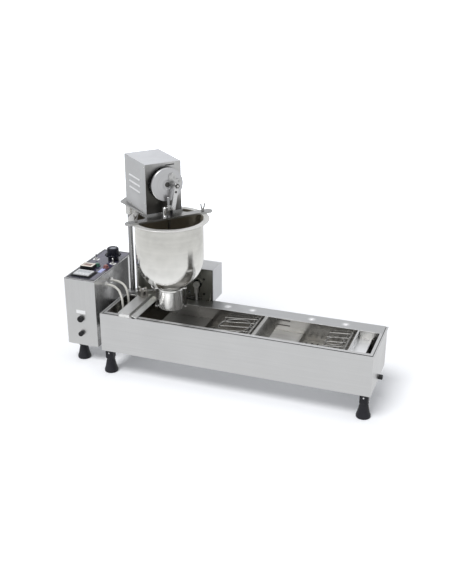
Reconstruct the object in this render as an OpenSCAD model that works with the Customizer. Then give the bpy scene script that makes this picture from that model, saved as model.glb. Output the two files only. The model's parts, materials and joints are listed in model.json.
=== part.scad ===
// Automatic donut machine: hopper head on a column, frying trough, control box and drive box.
// Millimetres, +Z up. The origin is the middle of the machine's footprint, on the bench.
// Sizes below are in the machine frame: X from the control box's left side, Y from the
// trough's front face towards the back, Z from the bench.

/* [Trough] */
// Length of the frying trough with its right lip
trough_l = 893; // [850:1:950]
// Depth of the trough from its front face to its back face
trough_d = 222; // [210:1:250]
// Height of the trough's casing
trough_h = 132; // [126:1:160]
// Height of the trough's underside above the bench
trough_lift = 87; // [75:1:105]
// Width of the deck over the flipper drive, behind the oil tank
deck_w = 55; // [48:1:65]
// Width of the rim in front of the oil tank
front_rim = 22; // [18:1:28]
// Width of the rim left of the oil tank
left_rim = 15; // [12:1:20]
// Width of the rim at the right end, with its lip
right_rim = 17; // [14:1:24]
// Overhang of the right rim past the casing's end wall
end_lip = 4; // [2:1:8]
// Width of the fold that stiffens the casing's top edge
rim_fold = 6; // [4:1:8]
// Length of the open discharge bay past the oil tank
bay_l = 62; // [54:1:80]
// Depth of the oil tank below the rim
tank_h = 116; // [100:1:118]
// Thickness of the folded sheet steel
sheet = 1.5; // [1:0.1:2]

/* [Trays and partition] */
// Depth of the trays' top below the rim
tray_drop = 41; // [36:1:50]
// Depth of the lower pans below the trays' top
pan_drop = 18; // [12:1:24]
// Distance from the oil tank's left wall to the landing tray
landing_start = 158; // [140:1:170]
// Length of the landing tray's raised part
landing_l = 150; // [120:1:170]
// Distance from the oil tank's left wall to the partition
partition_at = 493; // [475:1:510]
// Width of the partition's flat top
partition_top = 10; // [6:1:14]
// Width of the partition's sloping foot
partition_slope = 22; // [14:1:30]
// Length of the transfer tray's raised part
transfer_l = 96; // [80:1:120]
// Width of the drain slots in the lower pans
slot_w = 6; // [4:1:8]
// Length of the level lines on the tank's back wall
level_line_l = 47; // [30:1:60]
// Depth of the upper level line below the rim
level_high = 5; // [4:1:12]
// Depth of the lower level line below the rim
level_low = 22; // [16:1:30]

/* [Flippers and their drive] */
// Diameter of the flipper shafts
flip_shaft_d = 8; // [6:1:10]
// Diameter of the flipper wires
wire_d = 4; // [3:0.5:5]
// Length of the first flipper's basket
flip_one_l = 118; // [100:1:120]
// Length of the second flipper's basket
flip_two_l = 72; // [60:1:80]
// Distance from each flipper shaft to the wall that it throws over
flip_gap = 17; // [14:1:24]
// Depth of the flipper shafts below the rim
flip_drop = 13; // [11:1:16]
// Length of the levers on the flipper shafts
flip_lever_l = 26; // [22:1:28]
// Thickness of the flipper levers and of the link bar
link_t = 4; // [3:0.5:5]
// Diameter of the link pins
link_pin_d = 6; // [5:1:7]

/* [Control box] */
// Width of the control box
control_w = 112; // [108:1:130]
// Depth of the control box
control_d = 286; // [276:1:320]
// Height of the control box
control_h = 238; // [225:1:270]
// Height of the control box's underside above the bench
control_lift = 62; // [50:1:75]
// Distance of the control box's front from the trough's front
control_setback = 57; // [45:1:70]
// Gap between the control box and the trough
body_gap = 45; // [38:1:55]
// Thickness of the panel plate on the control box
panel_t = 1.5; // [1:0.1:2.5]
// Diameter of the large knob's cap
knob_d = 39; // [34:1:44]
// Diameter of the large knob's skirt
knob_skirt_d = 56; // [50:1:60]
// Height of the large knob above the panel
knob_h = 45; // [40:1:52]
// Distance of the large knob from the box's front
knob_at = 201; // [195:1:210]
// Diameter of the push buttons
button_d = 15; // [12:1:18]
// Travel of the push buttons
button_travel = 3; // [2:0.5:4]
// Length of the toggle levers above the panel
toggle_l = 20; // [16:1:26]
// Diameter of the heater tubes
heater_d = 8; // [7:0.5:9]
// Length of the cable gland behind the control box
gland_l = 18; // [14:1:24]

/* [Drive box] */
// Width of the drive box
gear_w = 275; // [250:1:290]
// Depth of the drive box behind the trough
gear_d = 83; // [75:1:95]
// Height of the drive box
gear_h = 116; // [113:1:130]
// Distance of the drive box from the trough's left side
gear_at = 32; // [26:1:40]
// Height of the drive box above the trough's rim
gear_rise = 109; // [100:1:120]
// Height of the drive lever's shaft above the rim
lever_rise = 54; // [48:1:60]
// Diameter of the round opening in the drive box's front plate
lever_hole_d = 30; // [28:1:36]

/* [Column and head] */
// Diameter of the column
column_d = 16; // [14:1:20]
// Height of the yoke's top face above the bench
yoke_top = 539; // [530:1:560]
// Thickness of the yoke bar
yoke_t = 6; // [5:0.5:8]
// Distance that the yoke bar reaches past the hopper's body
yoke_over = 46; // [30:1:56]
// Width of the yoke bar
yoke_w = 27; // [24:1:34]
// Turn of the head about the hopper's axis, in degrees
head_turn = 48.5; // [44:0.5:52]
// Distance of the hopper's axis from the trough's left side
hopper_at = 207; // [200:1:215]
// Distance of the hopper's axis ahead of the trough's back
hopper_ahead = 119; // [112:1:124]
// Thickness of the motor's base plate
base_t = 5; // [4:0.5:6]
// Width of the motor cover
cover_w = 120; // [116:1:130]
// Depth of the motor cover
cover_d = 166; // [156:1:180]
// Height of the motor cover
cover_h = 158; // [156:1:172]
// Distance from the hopper's axis to the cover's front face
cover_back = 33; // [32:1:40]

/* [Hopper and nozzle] */
// Outer radius of the hopper's body
bowl_r = 108; // [104:1:110]
// Width of the hopper's flat rim outside its body
bowl_rim_w = 19; // [15:1:22]
// Height of the hopper from its lowest point to its rim
bowl_h = 235; // [228:1:242]
// Thickness of the hopper's wall
bowl_t = 2; // [1.5:0.5:3]
// Outer radius of the nozzle
nozzle_r = 39; // [36:1:40]
// Height of the nozzle below the hopper
nozzle_h = 69; // [62:1:72]
// Bore radius of the nozzle
nozzle_bore_r = 27; // [25:1:30]
// Distance of the nozzle's side rods from its axis
side_rod_at = 46; // [45:1:50]
// Diameter of the nozzle's side rods
side_rod_d = 5; // [4:1:6]

/* [Crank drive] */
// Radius of the crank disc
crank_r = 53; // [50:1:55]
// Throw of the crank pin
crank_throw = 20; // [16:1:24]
// Height of the crank's axis above the yoke
crank_rise = 98; // [94:1:104]
// Thickness of the crank disc
crank_t = 8; // [6:1:9]
// Diameter of the crank pin
crank_pin_d = 8; // [6:1:10]
// Width of the connecting rod
rod_w = 13; // [12:1:15]
// Thickness of the connecting rod
rod_t = 7; // [5:1:8]
// Diameter of the plunger rod
plunger_d = 9; // [8:1:10]

/* [Fits] */
// Radial running clearance of shafts and pins
run_gap = 0.05; // [0.02:0.01:0.1]
// Clear gap between pieces that move past each other
pass_gap = 0.5; // [0.4:0.1:1]
// Gap between pieces that seat loosely
seat_gap = 0.3; // [0.2:0.1:0.5]

/* [Hidden] */
$fn = 48;

// Machine frame
trough_x = control_w + body_gap;
trough_end = trough_x + trough_l;
wall_end = trough_end - end_lip;
rim_z = trough_lift + trough_h;
panel_z = control_lift + control_h;
control_back = control_setback + control_d;
hopper_x = trough_x + hopper_at;
hopper_back = trough_d - hopper_ahead;
bowl_rim_r = bowl_r + bowl_rim_w;
front_reach = min(0, hopper_back - bowl_rim_r);
back_reach = control_back + gland_l;
cap_l = 13;
right_reach = max(trough_end, wall_end + seat_gap + cap_l);
machine_shift = [-right_reach / 2, -(front_reach + back_reach) / 2, 0];

// Oil tank
tank_x = trough_x + left_rim;
bay_end = trough_end - right_rim;
hem = 4;
tank_end = bay_end - bay_l - hem;
tank_y = front_rim;
tank_back = trough_d - deck_w;
tank_z = rim_z - tank_h;
fold_gap = 2;
ledge_w = min(left_rim, front_rim, right_rim) - sheet - rim_fold - seat_gap;
flange_y = rim_fold + fold_gap;
tray_z = rim_z - tray_drop;
pan_z = tray_z - pan_drop;
partition_x = tank_x + partition_at;
partition_end = partition_x + partition_top + partition_slope;

// Flippers: shaft places, rest level and lever plane
flip_z = rim_z - flip_drop;
flip_one_x = partition_x - flip_gap;
flip_two_x = tank_end - flip_gap;
flip_lever_y = tank_back + 14;
link_y = flip_lever_y + link_t + pass_gap;
shaft_hole_r = flip_shaft_d / 2 + run_gap;
basket_dip = 5;
// The levers rest this far past straight down, so that a full throw swings them evenly
lever_rest = 65;
pin_dx = flip_lever_l * sin(lever_rest);
link_z = flip_z - flip_lever_l * cos(lever_rest);

// Drive box and its lever
gear_x = trough_x + gear_at;
gear_y = trough_d;
gear_z = rim_z + gear_rise - gear_h;
lever_x = gear_x + gear_w - 55;
lever_z = rim_z + lever_rise;
lever_y = trough_d - 12;
lever_rod_r = 4;
lever_swing = 34;

// Head frame: u along the yoke bar, v towards the motor, about the hopper's axis
column_place = [-56, 184];
yoke_shift = -4;
wing_shift = 4;
yoke_reach = bowl_r + yoke_over;
rim_top = yoke_top - yoke_t;
base_top = yoke_top + base_t;
bowl_low = rim_top - bowl_h;
bowl_seat_z = bowl_low + bowl_r - bowl_r * cos(asin((nozzle_bore_r + 4) / bowl_r));
nozzle_z = bowl_seat_z - nozzle_h;
crank_z = yoke_top + crank_rise;
crank_u = 4;
crank_v = 12;
bracket_t = 3.5;
bolt_head_t = 3;
rod_v = -(plunger_d / 2 + 3.5 / 2 + pass_gap);
rod_low_z = yoke_top + crank_throw + 8;
rod_lean = 13;
plate_v = -plunger_d / 2 - 1.2;
opening_r = crank_r - 1;
wing_at = bowl_r + 6;
wing_bolt_d = 6;
shaft_r = 9;
shaft_in = 30;

// Left linkage, in the head frame
rocker_u = -side_rod_at;
rocker_v = 124;
rocker_z = rim_z + 33;
tip_rise = 34;
end_rise = 17;
rocker_w = 27;
lift_v = 167;
lift_r = 2.5;
side_turn = -28;

module in_machine() {
  translate(machine_shift) children();
}

module in_head() {
  in_machine() translate([hopper_x, hopper_back, 0]) rotate([0, 0, head_turn]) children();
}

// A box given by its two corners
module span(a, b) {
  translate(a) cube(b - a);
}

// A cylinder along +X, +Y or +Z from a point
module bar_x(p, l, r) {
  translate(p) rotate([0, 90, 0]) cylinder(h = l, r = r);
}

module bar_y(p, l, r) {
  translate(p) rotate([-90, 0, 0]) cylinder(h = l, r = r);
}

module bar_z(p, l, r) {
  translate(p) cylinder(h = l, r = r);
}

// A straight round bar between two points
module rod_between(a, b, r) {
  d = b - a;
  l = norm(d);
  turn = atan2(d[1], d[0]);
  tilt = acos(d[2] / l);
  translate(a) rotate([0, tilt, turn]) cylinder(h = l, r = r);
}

// A hexagon nut or bolt head with its axis along +Z
module hex(p, h, across) {
  translate(p) rotate([0, 0, 30]) cylinder(h = h, d = across / cos(30), $fn = 6);
}

module rounded_rect(w, d, r) {
  translate([r, 0]) square([w - 2 * r, d]);
  translate([0, r]) square([w, d - 2 * r]);
  for (x = [r, w - r], y = [r, d - r]) translate([x, y]) circle(r = r);
}

/* Trough */

module trough_housing() {
  back_z = rim_z - sheet;
  color("silver") in_machine() difference() {
    union() {
      difference() {
        span([trough_x, 0, trough_lift], [wall_end, trough_d, rim_z]);
        span(
          [trough_x + sheet, sheet, trough_lift + sheet],
          [wall_end - sheet, trough_d - sheet, rim_z + 1]
        );
      }
      // Folded rim on the front, left and right, with the ledge that carries the tank
      rim_strip(0, rim_fold, rim_z - sheet);
      rim_strip(rim_fold - sheet, rim_fold, rim_z - 2 * sheet);
      rim_strip(rim_fold - sheet, rim_fold + ledge_w, rim_z - 2 * sheet);
    }
    // The deck closes the back, over the casing's wall
    span([trough_x - 1, tank_back, back_z], [trough_end - rim_fold, trough_d + 1, rim_z + 1]);
    // Way out for the drain pipe
    bar_x([wall_end - 2 * sheet, drain_y, drain_z], 3 * sheet, drain_r + seat_gap);
    // The wiring duct's opening in the left wall
    span(
      [trough_x - 1, duct_y + 4, duct_z + 4],
      [trough_x + sheet + 1, duct_y + duct_d - 4, duct_z + duct_h - 4]
    );
  }
}

// One level of the rim, from an inset to an inset, round the front, left and right sides
module rim_strip(inset_a, inset_b, z) {
  difference() {
    span(
      [trough_x + inset_a, inset_a, z],
      [(inset_a == 0 ? trough_end : trough_end - inset_a), trough_d, z + sheet]
    );
    span(
      [trough_x + inset_b, inset_b, z - 1],
      [trough_end - inset_b, trough_d + 1, z + sheet + 1]
    );
  }
}

module oil_tank() {
  flange_z = rim_z - sheet;
  color("gainsboro") in_machine() difference() {
    union() {
      // Flange frame round the basin and the discharge bay
      difference() {
        span(
          [trough_x + flange_y, flange_y, flange_z],
          [trough_end - flange_y, tank_back, rim_z]
        );
        span([tank_x, tank_y, flange_z - 1], [tank_end, tank_back + 1, rim_z + 1]);
        span(
          [tank_end + hem, tank_y, flange_z - 1],
          [bay_end, tank_back + 1, rim_z + 1]
        );
      }
      basin();
      // The bay's back wall, hung from the deck's front edge
      span([tank_end + hem, tank_back - sheet, tray_z - 30], [bay_end, tank_back, rim_z]);
    }
    // Shaft bores of the flippers
    for (x = [flip_one_x, flip_two_x])
      bar_y([x, tank_back - 2 * sheet, flip_z], 3 * sheet, shaft_hole_r);
    // Level lines pressed into the back wall
    for (drop = [level_high, level_low])
      span(
        [partition_end + 4, tank_back - sheet - 0.5, rim_z - drop - 1],
        [partition_end + 4 + level_line_l, tank_back - sheet + 0.5, rim_z - drop + 1]
      );
    // Drain hole near the right end of the bottom
    bar_z([drain_x, drain_y, tank_z - sheet], 3 * sheet, drain_bore);
  }
}

module basin() {
  difference() {
    span([tank_x - sheet, tank_y - sheet, tank_z], [tank_end, tank_back, rim_z - sheet]);
    span(
      [tank_x, tank_y, tank_z + sheet],
      [tank_end - sheet, tank_back - sheet, rim_z + 1]
    );
  }
  span([tank_x, tank_back - sheet, rim_z - sheet], [tank_end, tank_back, rim_z]);
  span([tank_end - sheet, tank_y, rim_z - sheet], [tank_end, tank_back, rim_z]);
}

drain_y = 120;
drain_r = 6;
drain_bore = 4;
drain_x = tank_end - 24;
drain_z = trough_lift + sheet + drain_r + 0.3;
duct_y = 150;
duct_d = 70;
duct_z = trough_lift + 12;
duct_h = 70;

module back_deck() {
  deck_fold = 14;
  slot_left = (lever_rise + sheet) * tan(lever_swing) + lever_rod_r / cos(lever_swing) + 1;
  color("silver") in_machine() difference() {
    union() {
      span(
        [trough_x, tank_back + seat_gap, rim_z - sheet],
        [trough_end - flange_y, trough_d + sheet, rim_z]
      );
      // Back fold over the casing's wall
      span(
        [trough_x, trough_d, rim_z - deck_fold],
        [gear_x - 1, trough_d + sheet, rim_z - sheet]
      );
      span(
        [gear_x + gear_w + 1, trough_d, rim_z - deck_fold],
        [trough_end - flange_y, trough_d + sheet, rim_z - sheet]
      );
    }
    // Slot that the drive lever reaches through
    span(
      [lever_x - slot_left, lever_y - 5, rim_z - 2 * sheet],
      [lever_x + lever_rod_r + 2, lever_y + 7, rim_z + 1]
    );
    // Room for the column and for the drive box
    translate([column_xy[0], column_xy[1], rim_z - 2 * sheet])
      cylinder(h = 3 * sheet, r = column_d / 2 + seat_gap);
    span(
      [gear_x - seat_gap, gear_y, rim_z - 2 * sheet],
      [gear_x + gear_w + seat_gap, gear_y + 2 * sheet, rim_z + 1]
    );
  }
}

column_xy = [
  hopper_x + column_place[0] * cos(head_turn) - column_place[1] * sin(head_turn),
  hopper_back + column_place[0] * sin(head_turn) + column_place[1] * cos(head_turn)
];

// Bent cross wall: an upright leg, a flat top and a sloping foot
module tank_partition() {
  color("whitesmoke") in_machine()
    translate([0, tank_back - sheet - seat_gap, 0]) rotate([90, 0, 0])
      linear_extrude(height = tank_back - sheet - tank_y - 2 * seat_gap)
        polygon([
          [partition_x, pan_z],
          [partition_x, rim_z],
          [partition_x + partition_top, rim_z],
          [partition_end, tray_z],
          [partition_end, tray_z - sheet],
          [partition_end - 2, tray_z - sheet],
          [partition_x + partition_top - sheet, rim_z - sheet],
          [partition_x + sheet, rim_z - sheet],
          [partition_x + sheet, pan_z]
        ]);
}

// A stepped tray: a raised part, a step down and a slotted lower pan on side skirts
module stepped_tray(x0, raised_l, x1) {
  y0 = tank_y + seat_gap;
  y1 = tank_back - sheet - seat_gap;
  step_x = x0 + raised_l;
  difference() {
    union() {
      span([x0, y0, tray_z - sheet], [step_x, y1, tray_z]);
      span([step_x - sheet, y0, pan_z], [step_x, y1, tray_z - sheet]);
      span([step_x - sheet, y0, pan_z - sheet], [x1, y1, pan_z]);
      // Skirts that stand on the tank's bottom, along the front and the back
      for (y = [y0, y1 - sheet])
        span([x0, y, tank_z + sheet], [step_x, y + sheet, tray_z - sheet]);
      for (y = [y0, y1 - sheet])
        span([step_x, y, tank_z + sheet], [x1, y + sheet, pan_z - sheet]);
    }
    // Drain slots in the lower pan
    for (x = [step_x + 16 : 3 * slot_w : x1 - 14])
      translate([x, (y0 + y1) / 2, pan_z - 2 * sheet])
        linear_extrude(height = 3 * sheet)
          for (side = [-1, 1]) translate([0, side * 30]) square([slot_w, 44], center = true);
    // The skirts are open below, for the heater and the oil
    for (x = [x0 + 20 : 60 : x1 - 50])
      span([x, y0 - 1, tank_z + sheet - 1], [x + 40, y1 + 1, pan_z - 12]);
  }
}

module landing_tray() {
  color("gray") in_machine()
    stepped_tray(tank_x + landing_start, landing_l, partition_x - seat_gap);
}

module transfer_tray() {
  color("lightgray") in_machine()
    stepped_tray(partition_end + seat_gap, transfer_l, tank_end - sheet - seat_gap);
}

module discharge_chute() {
  x0 = tank_end;
  x1 = bay_end - 23;
  y0 = tank_y + seat_gap;
  y1 = tank_back - sheet - seat_gap;
  top = rim_z - 24;
  hook = 13.2;
  color("white") in_machine() {
    translate([0, y1, 0]) rotate([90, 0, 0]) linear_extrude(height = y1 - y0)
      polygon([
        [x0, top],
        [x0, top + 16],
        [x0 + sheet, top + 16],
        [x0 + sheet, top],
        [x1, top - 3],
        [x1, top - 10],
        [x1 - sheet, top - 10],
        [x1 - sheet, top - 3 - sheet],
        [x0, top - sheet]
      ]);
    // Hanger that holds the chute under the front rim
    span([x1 - sheet / 2, y0 + 6, top - 10], [x1 + hook, y0 + 24, top - 10 + sheet]);
    span([x1 + hook - sheet, y0 + 6, top - 10], [x1 + hook, y0 + 24, top + 4]);
  }
}

// Pipe under the tank: an upright stub from the drain hole and a level run to the end wall
module drain_spigot() {
  pipe_l = wall_end - drain_x + 8;
  color("silver") in_machine() difference() {
    union() {
      bar_x([drain_x - drain_r, drain_y, drain_z], pipe_l + drain_r, drain_r);
      bar_z([drain_x, drain_y, drain_z], tank_z - drain_z, drain_bore + 1.5);
    }
    bar_x([drain_x, drain_y, drain_z], pipe_l + 1, drain_bore);
    bar_z([drain_x, drain_y, drain_z], tank_z - drain_z + 1, drain_bore);
  }
}

module drain_cap() {
  cap_x0 = wall_end + seat_gap;
  cap_r = drain_r + 1.6;
  color("black") in_machine() difference() {
    union() {
      bar_x([cap_x0, drain_y, drain_z], cap_l, cap_r);
      for (a = [0 : 30 : 330])
        translate([0, drain_y, drain_z]) rotate([a, 0, 0])
          bar_x([cap_x0, 0, cap_r - 0.3], cap_l - 2, 0.7);
    }
    bar_x([cap_x0 - 1, drain_y, drain_z], 9.5, drain_r + run_gap);
  }
}

/* Feet */

foot_top_r = 13;
foot_low_r = 22.5;
foot_spots = [
  [trough_x + 15, 31, trough_lift],
  [trough_end - 27, 31, trough_lift],
  [trough_x + 53, trough_d - 31, trough_lift],
  [trough_end - 65, trough_d - 31, trough_lift],
  [control_w / 2 - 16, control_setback + 31, control_lift],
  [control_w / 2 - 16, control_back - 31, control_lift]
];

module rubber_feet() {
  color("black") in_machine() for (spot = foot_spots) translate([spot[0], spot[1], 0]) {
    rotate_extrude() polygon([
      [0, 0],
      [foot_low_r, 0],
      [foot_low_r, 8],
      [foot_low_r - 2, 12],
      [foot_top_r, 46],
      [foot_top_r + 1.5, 47],
      [foot_top_r + 1.5, 50],
      [foot_top_r, 51],
      [0, 51]
    ]);
    difference() {
      span([-foot_top_r, -foot_top_r, 51], [foot_top_r, foot_top_r, spot[2]]);
      bar_y([0, -foot_top_r - 1, foot_screw_z(spot)], 6, 3);
    }
  }
}

function foot_screw_z(spot) = (51 + spot[2]) / 2;

/* Flippers and their drive */

// Shaft, lever and wire basket; the basket reaches l to the left of the shaft
module flipper(x, l) {
  rows = 5;
  margin = 8;
  weld = 0.7 * wire_d;
  y_end = tank_y + seat_gap;
  y0 = tank_y + margin;
  y1 = tank_back - sheet - margin;
  pitch = (y1 - y0) / (rows - 1);
  hoop_r = (l - flip_shaft_d) / 2 - wire_d;
  in_machine() {
    bar_y([x, y_end, flip_z], flip_lever_y + link_t - y_end, flip_shaft_d / 2);
    translate([x, 0, flip_z]) rotate([0, -basket_dip, 0]) {
      // Bars of the basket, with a collar on the shaft at each
      for (i = [0 : rows - 1]) {
        bar_x([-l, y0 + i * pitch, 0], l, wire_d / 2);
        bar_y([0, y0 + i * pitch - 3, 0], 6, flip_shaft_d / 2 + 1.5);
      }
      // Cross wires under the bars and the hoop that turns a donut, on top of them
      for (dx = [flip_shaft_d + 6, l - 4])
        bar_y([-dx, y0 - 4, -weld], y1 - y0 + 8, wire_d / 2);
      translate([-(l + flip_shaft_d) / 2, (y0 + y1) / 2, weld])
        rotate_extrude() translate([hoop_r, 0]) circle(d = wire_d, $fn = 24);
    }
    // Lever and link pin on the shaft's back end
    translate([x, flip_lever_y, flip_z]) rotate([0, -lever_rest, 0]) {
      lever_plate();
      bar_y([0, link_t, -flip_lever_l], link_t + pass_gap + 1.5, link_pin_d / 2);
    }
  }
}

// A lever that hangs straight down from the shaft's axis
module lever_plate() {
  eye_r = link_pin_d / 2 + 3;
  translate([0, link_t, 0]) rotate([90, 0, 0]) linear_extrude(height = link_t) {
    circle(r = flip_shaft_d / 2 + 4);
    translate([0, -flip_lever_l]) circle(r = eye_r);
    translate([-eye_r + 1, -flip_lever_l]) square([2 * eye_r - 2, flip_lever_l]);
  }
}

module flipper_one() {
  color("lightsteelblue") flipper(flip_one_x, flip_one_l);
}

module flipper_two() {
  color("lightsteelblue") flipper(flip_two_x, flip_two_l);
}

// Push bar that joins the two flipper levers and reaches left to the drive lever
module flipper_link() {
  half = link_pin_d / 2 + 4;
  pins = [flip_one_x + pin_dx, flip_two_x + pin_dx];
  color("slategray") in_machine() translate([0, link_y + link_t, link_z]) rotate([90, 0, 0])
    linear_extrude(height = link_t) difference() {
      union() {
        translate([lever_x, -half]) square([pins[1] - lever_x, 2 * half]);
        for (x = [lever_x, pins[0], pins[1]]) translate([x, 0]) circle(r = half);
      }
      for (x = pins) translate([x, 0]) circle(r = link_pin_d / 2 + run_gap);
    }
}

// Lever on the drive box's output shaft: eye, hub, and a rod down through the deck's slot
module drive_lever() {
  hub_l = 10;
  hub_r = 11;
  front = lever_y - 4;
  rod_y = lever_y + 1;
  pin_y = link_y + link_t + pass_gap;
  color("gray") in_machine() {
    difference() {
      bar_y([lever_x, front, lever_z], hub_l, hub_r);
      bar_y([lever_x, front - 1, lever_z], 3, 5);
    }
    bar_y([lever_x, front + hub_l, lever_z], gear_y + 45 - front - hub_l, drive_shaft_r);
    bar_z([lever_x, rod_y, link_z], lever_z - link_z - 8, lever_rod_r);
    span([lever_x - 6, front, lever_z - 30], [lever_x + 6, front + hub_l, lever_z - 6]);
    // Pin towards the link
    bar_y([lever_x, pin_y, link_z + 4], rod_y - pin_y, link_pin_d / 2);
  }
}

drive_shaft_r = 6;

/* Heater */

heater_y = [129, 169];
heater_z = panel_z - 36;
heater_dive = [[tank_x + 26, 86], [tank_x + 20, 140]];
heater_low = tank_z + sheet + 8;
fitting_l = 9;

// Points of the hairpin: out of the box, over the rim, down, along the tank and back
function curve(a, b, c, d, n) = [
  for (i = [0 : n]) let (t = i / n)
    pow(1 - t, 3) * a + 3 * pow(1 - t, 2) * t * b + 3 * (1 - t) * t * t * c + t * t * t * d
];

function heater_run(k, low_y) = let (
  face = [control_w + fitting_l, heater_y[k], heater_z],
  start = face + [3, 0, 0],
  dive = [heater_dive[k][0], heater_dive[k][1], rim_z - 4],
  low = [dive[0], dive[1], heater_low + 24]
) concat(
  [face + [seat_gap, 0, 0]],
  curve(start, start + [40, 0, 0], dive + [-4, 3, 44], dive, 12),
  curve(
    low, low + [0, 0, -18], [dive[0] + 8, low_y, heater_low], [dive[0] + 32, low_y, heater_low], 6
  )
);

module heating_element() {
  front_y = tank_y + 38;
  back_y = tank_back - 40;
  mid_y = (front_y + back_y) / 2;
  turn_x = tank_end - 40;
  loop_r = (back_y - front_y) / 2;
  turn = [
    for (i = [0 : 10]) let (a = -90 + i * 18)
      [turn_x + loop_r * cos(a), mid_y + loop_r * sin(a), heater_low]
  ];
  second = heater_run(1, back_y);
  route = concat(
    heater_run(0, front_y), turn, [for (i = [len(second) - 1 : -1 : 0]) second[i]]
  );
  color("linen") in_machine() tube(route, heater_d / 2, 10);
}

// A round tube swept along a list of points, with flat ends
module tube(path, r, sides) {
  n = len(path);
  function along(i) = let (
    d = path[min(i + 1, n - 1)] - path[max(i - 1, 0)]
  ) d / norm(d);
  function side_dir(i) = let (
    t = along(i),
    s = cross(t, abs(t[2]) < 0.9 ? [0, 0, 1] : [0, 1, 0])
  ) s / norm(s);
  // Carry the frame along the path so that the tube doesn't twist
  function frame_at(i, s) = let (t = along(i), p = s - (s * t) * t) p / norm(p);
  function frames(i, s, done) = i == n ? done : let (f = frame_at(i, s))
    frames(i + 1, f, concat(done, [f]));
  sides_at = frames(0, side_dir(0), []);
  points = [
    for (i = [0 : n - 1], k = [0 : sides - 1]) let (
      a = k * 360 / sides,
      s = sides_at[i],
      c = cross(along(i), s)
    ) path[i] + r * (cos(a) * s + sin(a) * c)
  ];
  faces = concat(
    [[for (k = [0 : sides - 1]) k]],
    [for (i = [0 : n - 2], k = [0 : sides - 1]) let (k2 = (k + 1) % sides)
      [i * sides + k, (i + 1) * sides + k, i * sides + k2]],
    [for (i = [0 : n - 2], k = [0 : sides - 1]) let (k2 = (k + 1) % sides)
      [i * sides + k2, (i + 1) * sides + k, (i + 1) * sides + k2]],
    [[for (k = [sides - 1 : -1 : 0]) (n - 1) * sides + k]]
  );
  polyhedron(points = points, faces = faces, convexity = 10);
}

module heater_fittings() {
  color("silver") in_machine() for (y = heater_y) {
    translate([control_w, y, heater_z]) rotate([0, 90, 0]) {
      hex([0, 0, 0], 5, 19);
      cylinder(h = fitting_l, r = 6);
    }
  }
}

/* Control box */

module control_housing() {
  color("silver") in_machine() difference() {
    span([0, control_setback, control_lift], [control_w, control_back, panel_z - panel_t]);
    span(
      [sheet, control_setback + sheet, control_lift + sheet],
      [control_w - sheet, control_back + 1, panel_z - panel_t - sheet]
    );
    // Openings in the top for what hangs below the panel
    for (p = toggle_spots) bar_z([p[0], p[1], panel_z - 10], 12, 7);
    for (p = button_spots) bar_z([p[0], p[1], panel_z - 10], 12, 7);
    bar_z([knob_xy[0], knob_xy[1], panel_z - 10], 12, 7);
    // Front caps and the way for wires and heater ends
    for (z = [reset_z, fuse_z])
      bar_y([cap_x, control_setback - 1, z], 2 * sheet + 1, cap_stem_r + run_gap);
    for (y = heater_y) bar_x([control_w - 2 * sheet, y, heater_z], 3 * sheet, 4);
    span(
      [control_w - sheet - 1, duct_y + 4, duct_z + 4],
      [control_w + 1, duct_y + duct_d - 4, duct_z + duct_h - 4]
    );
  }
}

knob_xy = [control_w - 32, control_setback + knob_at];
toggle_spots = [[22, control_setback + 185], [control_w - 17, control_setback + 168]];
button_spots = [[55, control_setback + 131], [control_w - 22, control_setback + 126]];
cap_x = control_w / 2 - 2;
cap_stem_r = 4.5;
reset_z = panel_z - 141;
fuse_z = panel_z - 194;

module control_panel() {
  color("midnightblue") in_machine() difference() {
    span(
      [0, control_setback, panel_z - panel_t],
      [control_w, control_back, panel_z]
    );
    for (p = toggle_spots) bar_z([p[0], p[1], panel_z - 10], 12, 6);
    for (p = button_spots) bar_z([p[0], p[1], panel_z - 10], 12, 6);
    bar_z([knob_xy[0], knob_xy[1], panel_z - 10], 12, 6);
  }
}

module control_back_cover() {
  inset = sheet + seat_gap;
  color("silver") in_machine() difference() {
    span(
      [inset, control_back - sheet - 6, control_lift + inset],
      [control_w - inset, control_back, panel_z - panel_t - inset]
    );
    span(
      [inset + sheet, control_back - sheet - 7, control_lift + inset + sheet],
      [control_w - inset - sheet, control_back - sheet, panel_z - panel_t - inset - sheet]
    );
    // Air slots
    for (i = [0 : 6])
      span(
        [control_w / 2 - 28, control_back - 2 * sheet, panel_z - 50 - i * 9],
        [control_w / 2 + 28, control_back + 1, panel_z - 47 - i * 9]
      );
    bar_y([control_w / 2, control_back - 2 * sheet, gland_z], 3 * sheet + 1, 6);
  }
}

gland_z = control_lift + 34;

module cable_gland() {
  color("black") in_machine() difference() {
    union() {
      translate([control_w / 2, control_back, gland_z]) rotate([-90, 0, 0]) hex([0, 0, 0], 6, 20);
      bar_y([control_w / 2, control_back, gland_z], gland_l - 3, 8);
      translate([control_w / 2, control_back + gland_l - 3, gland_z]) rotate([-90, 0, 0])
        cylinder(h = 3, r1 = 8, r2 = 6);
    }
    bar_y([control_w / 2, control_back - 1, gland_z], gland_l + 2, 4);
  }
}

module wiring_duct() {
  color("dimgray") in_machine() difference() {
    span(
      [control_w, duct_y, duct_z], [trough_x, duct_y + duct_d, duct_z + duct_h]
    );
    span(
      [control_w - 1, duct_y + 4, duct_z + 4],
      [trough_x + 1, duct_y + duct_d - 4, duct_z + duct_h - 4]
    );
  }
}

ctl_x = 13;
ctl_w = 68;
ctl_y = control_setback + 24;
ctl_d = 52;

module temperature_controller() {
  color("whitesmoke") in_machine() translate([ctl_x, ctl_y, panel_z]) {
    linear_extrude(height = 4) rounded_rect(ctl_w, ctl_d, 3);
    translate([5, 5, 4]) difference() {
      linear_extrude(height = 3) rounded_rect(ctl_w - 10, ctl_d - 10, 2);
      // Display window and four keys
      translate([6, 19, 2.2]) linear_extrude(height = 2) rounded_rect(ctl_w - 22, 17, 1);
      for (i = [0 : 3]) translate([12 + i * 11, 9, 2]) cylinder(h = 2, r = 3);
    }
  }
}

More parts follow.
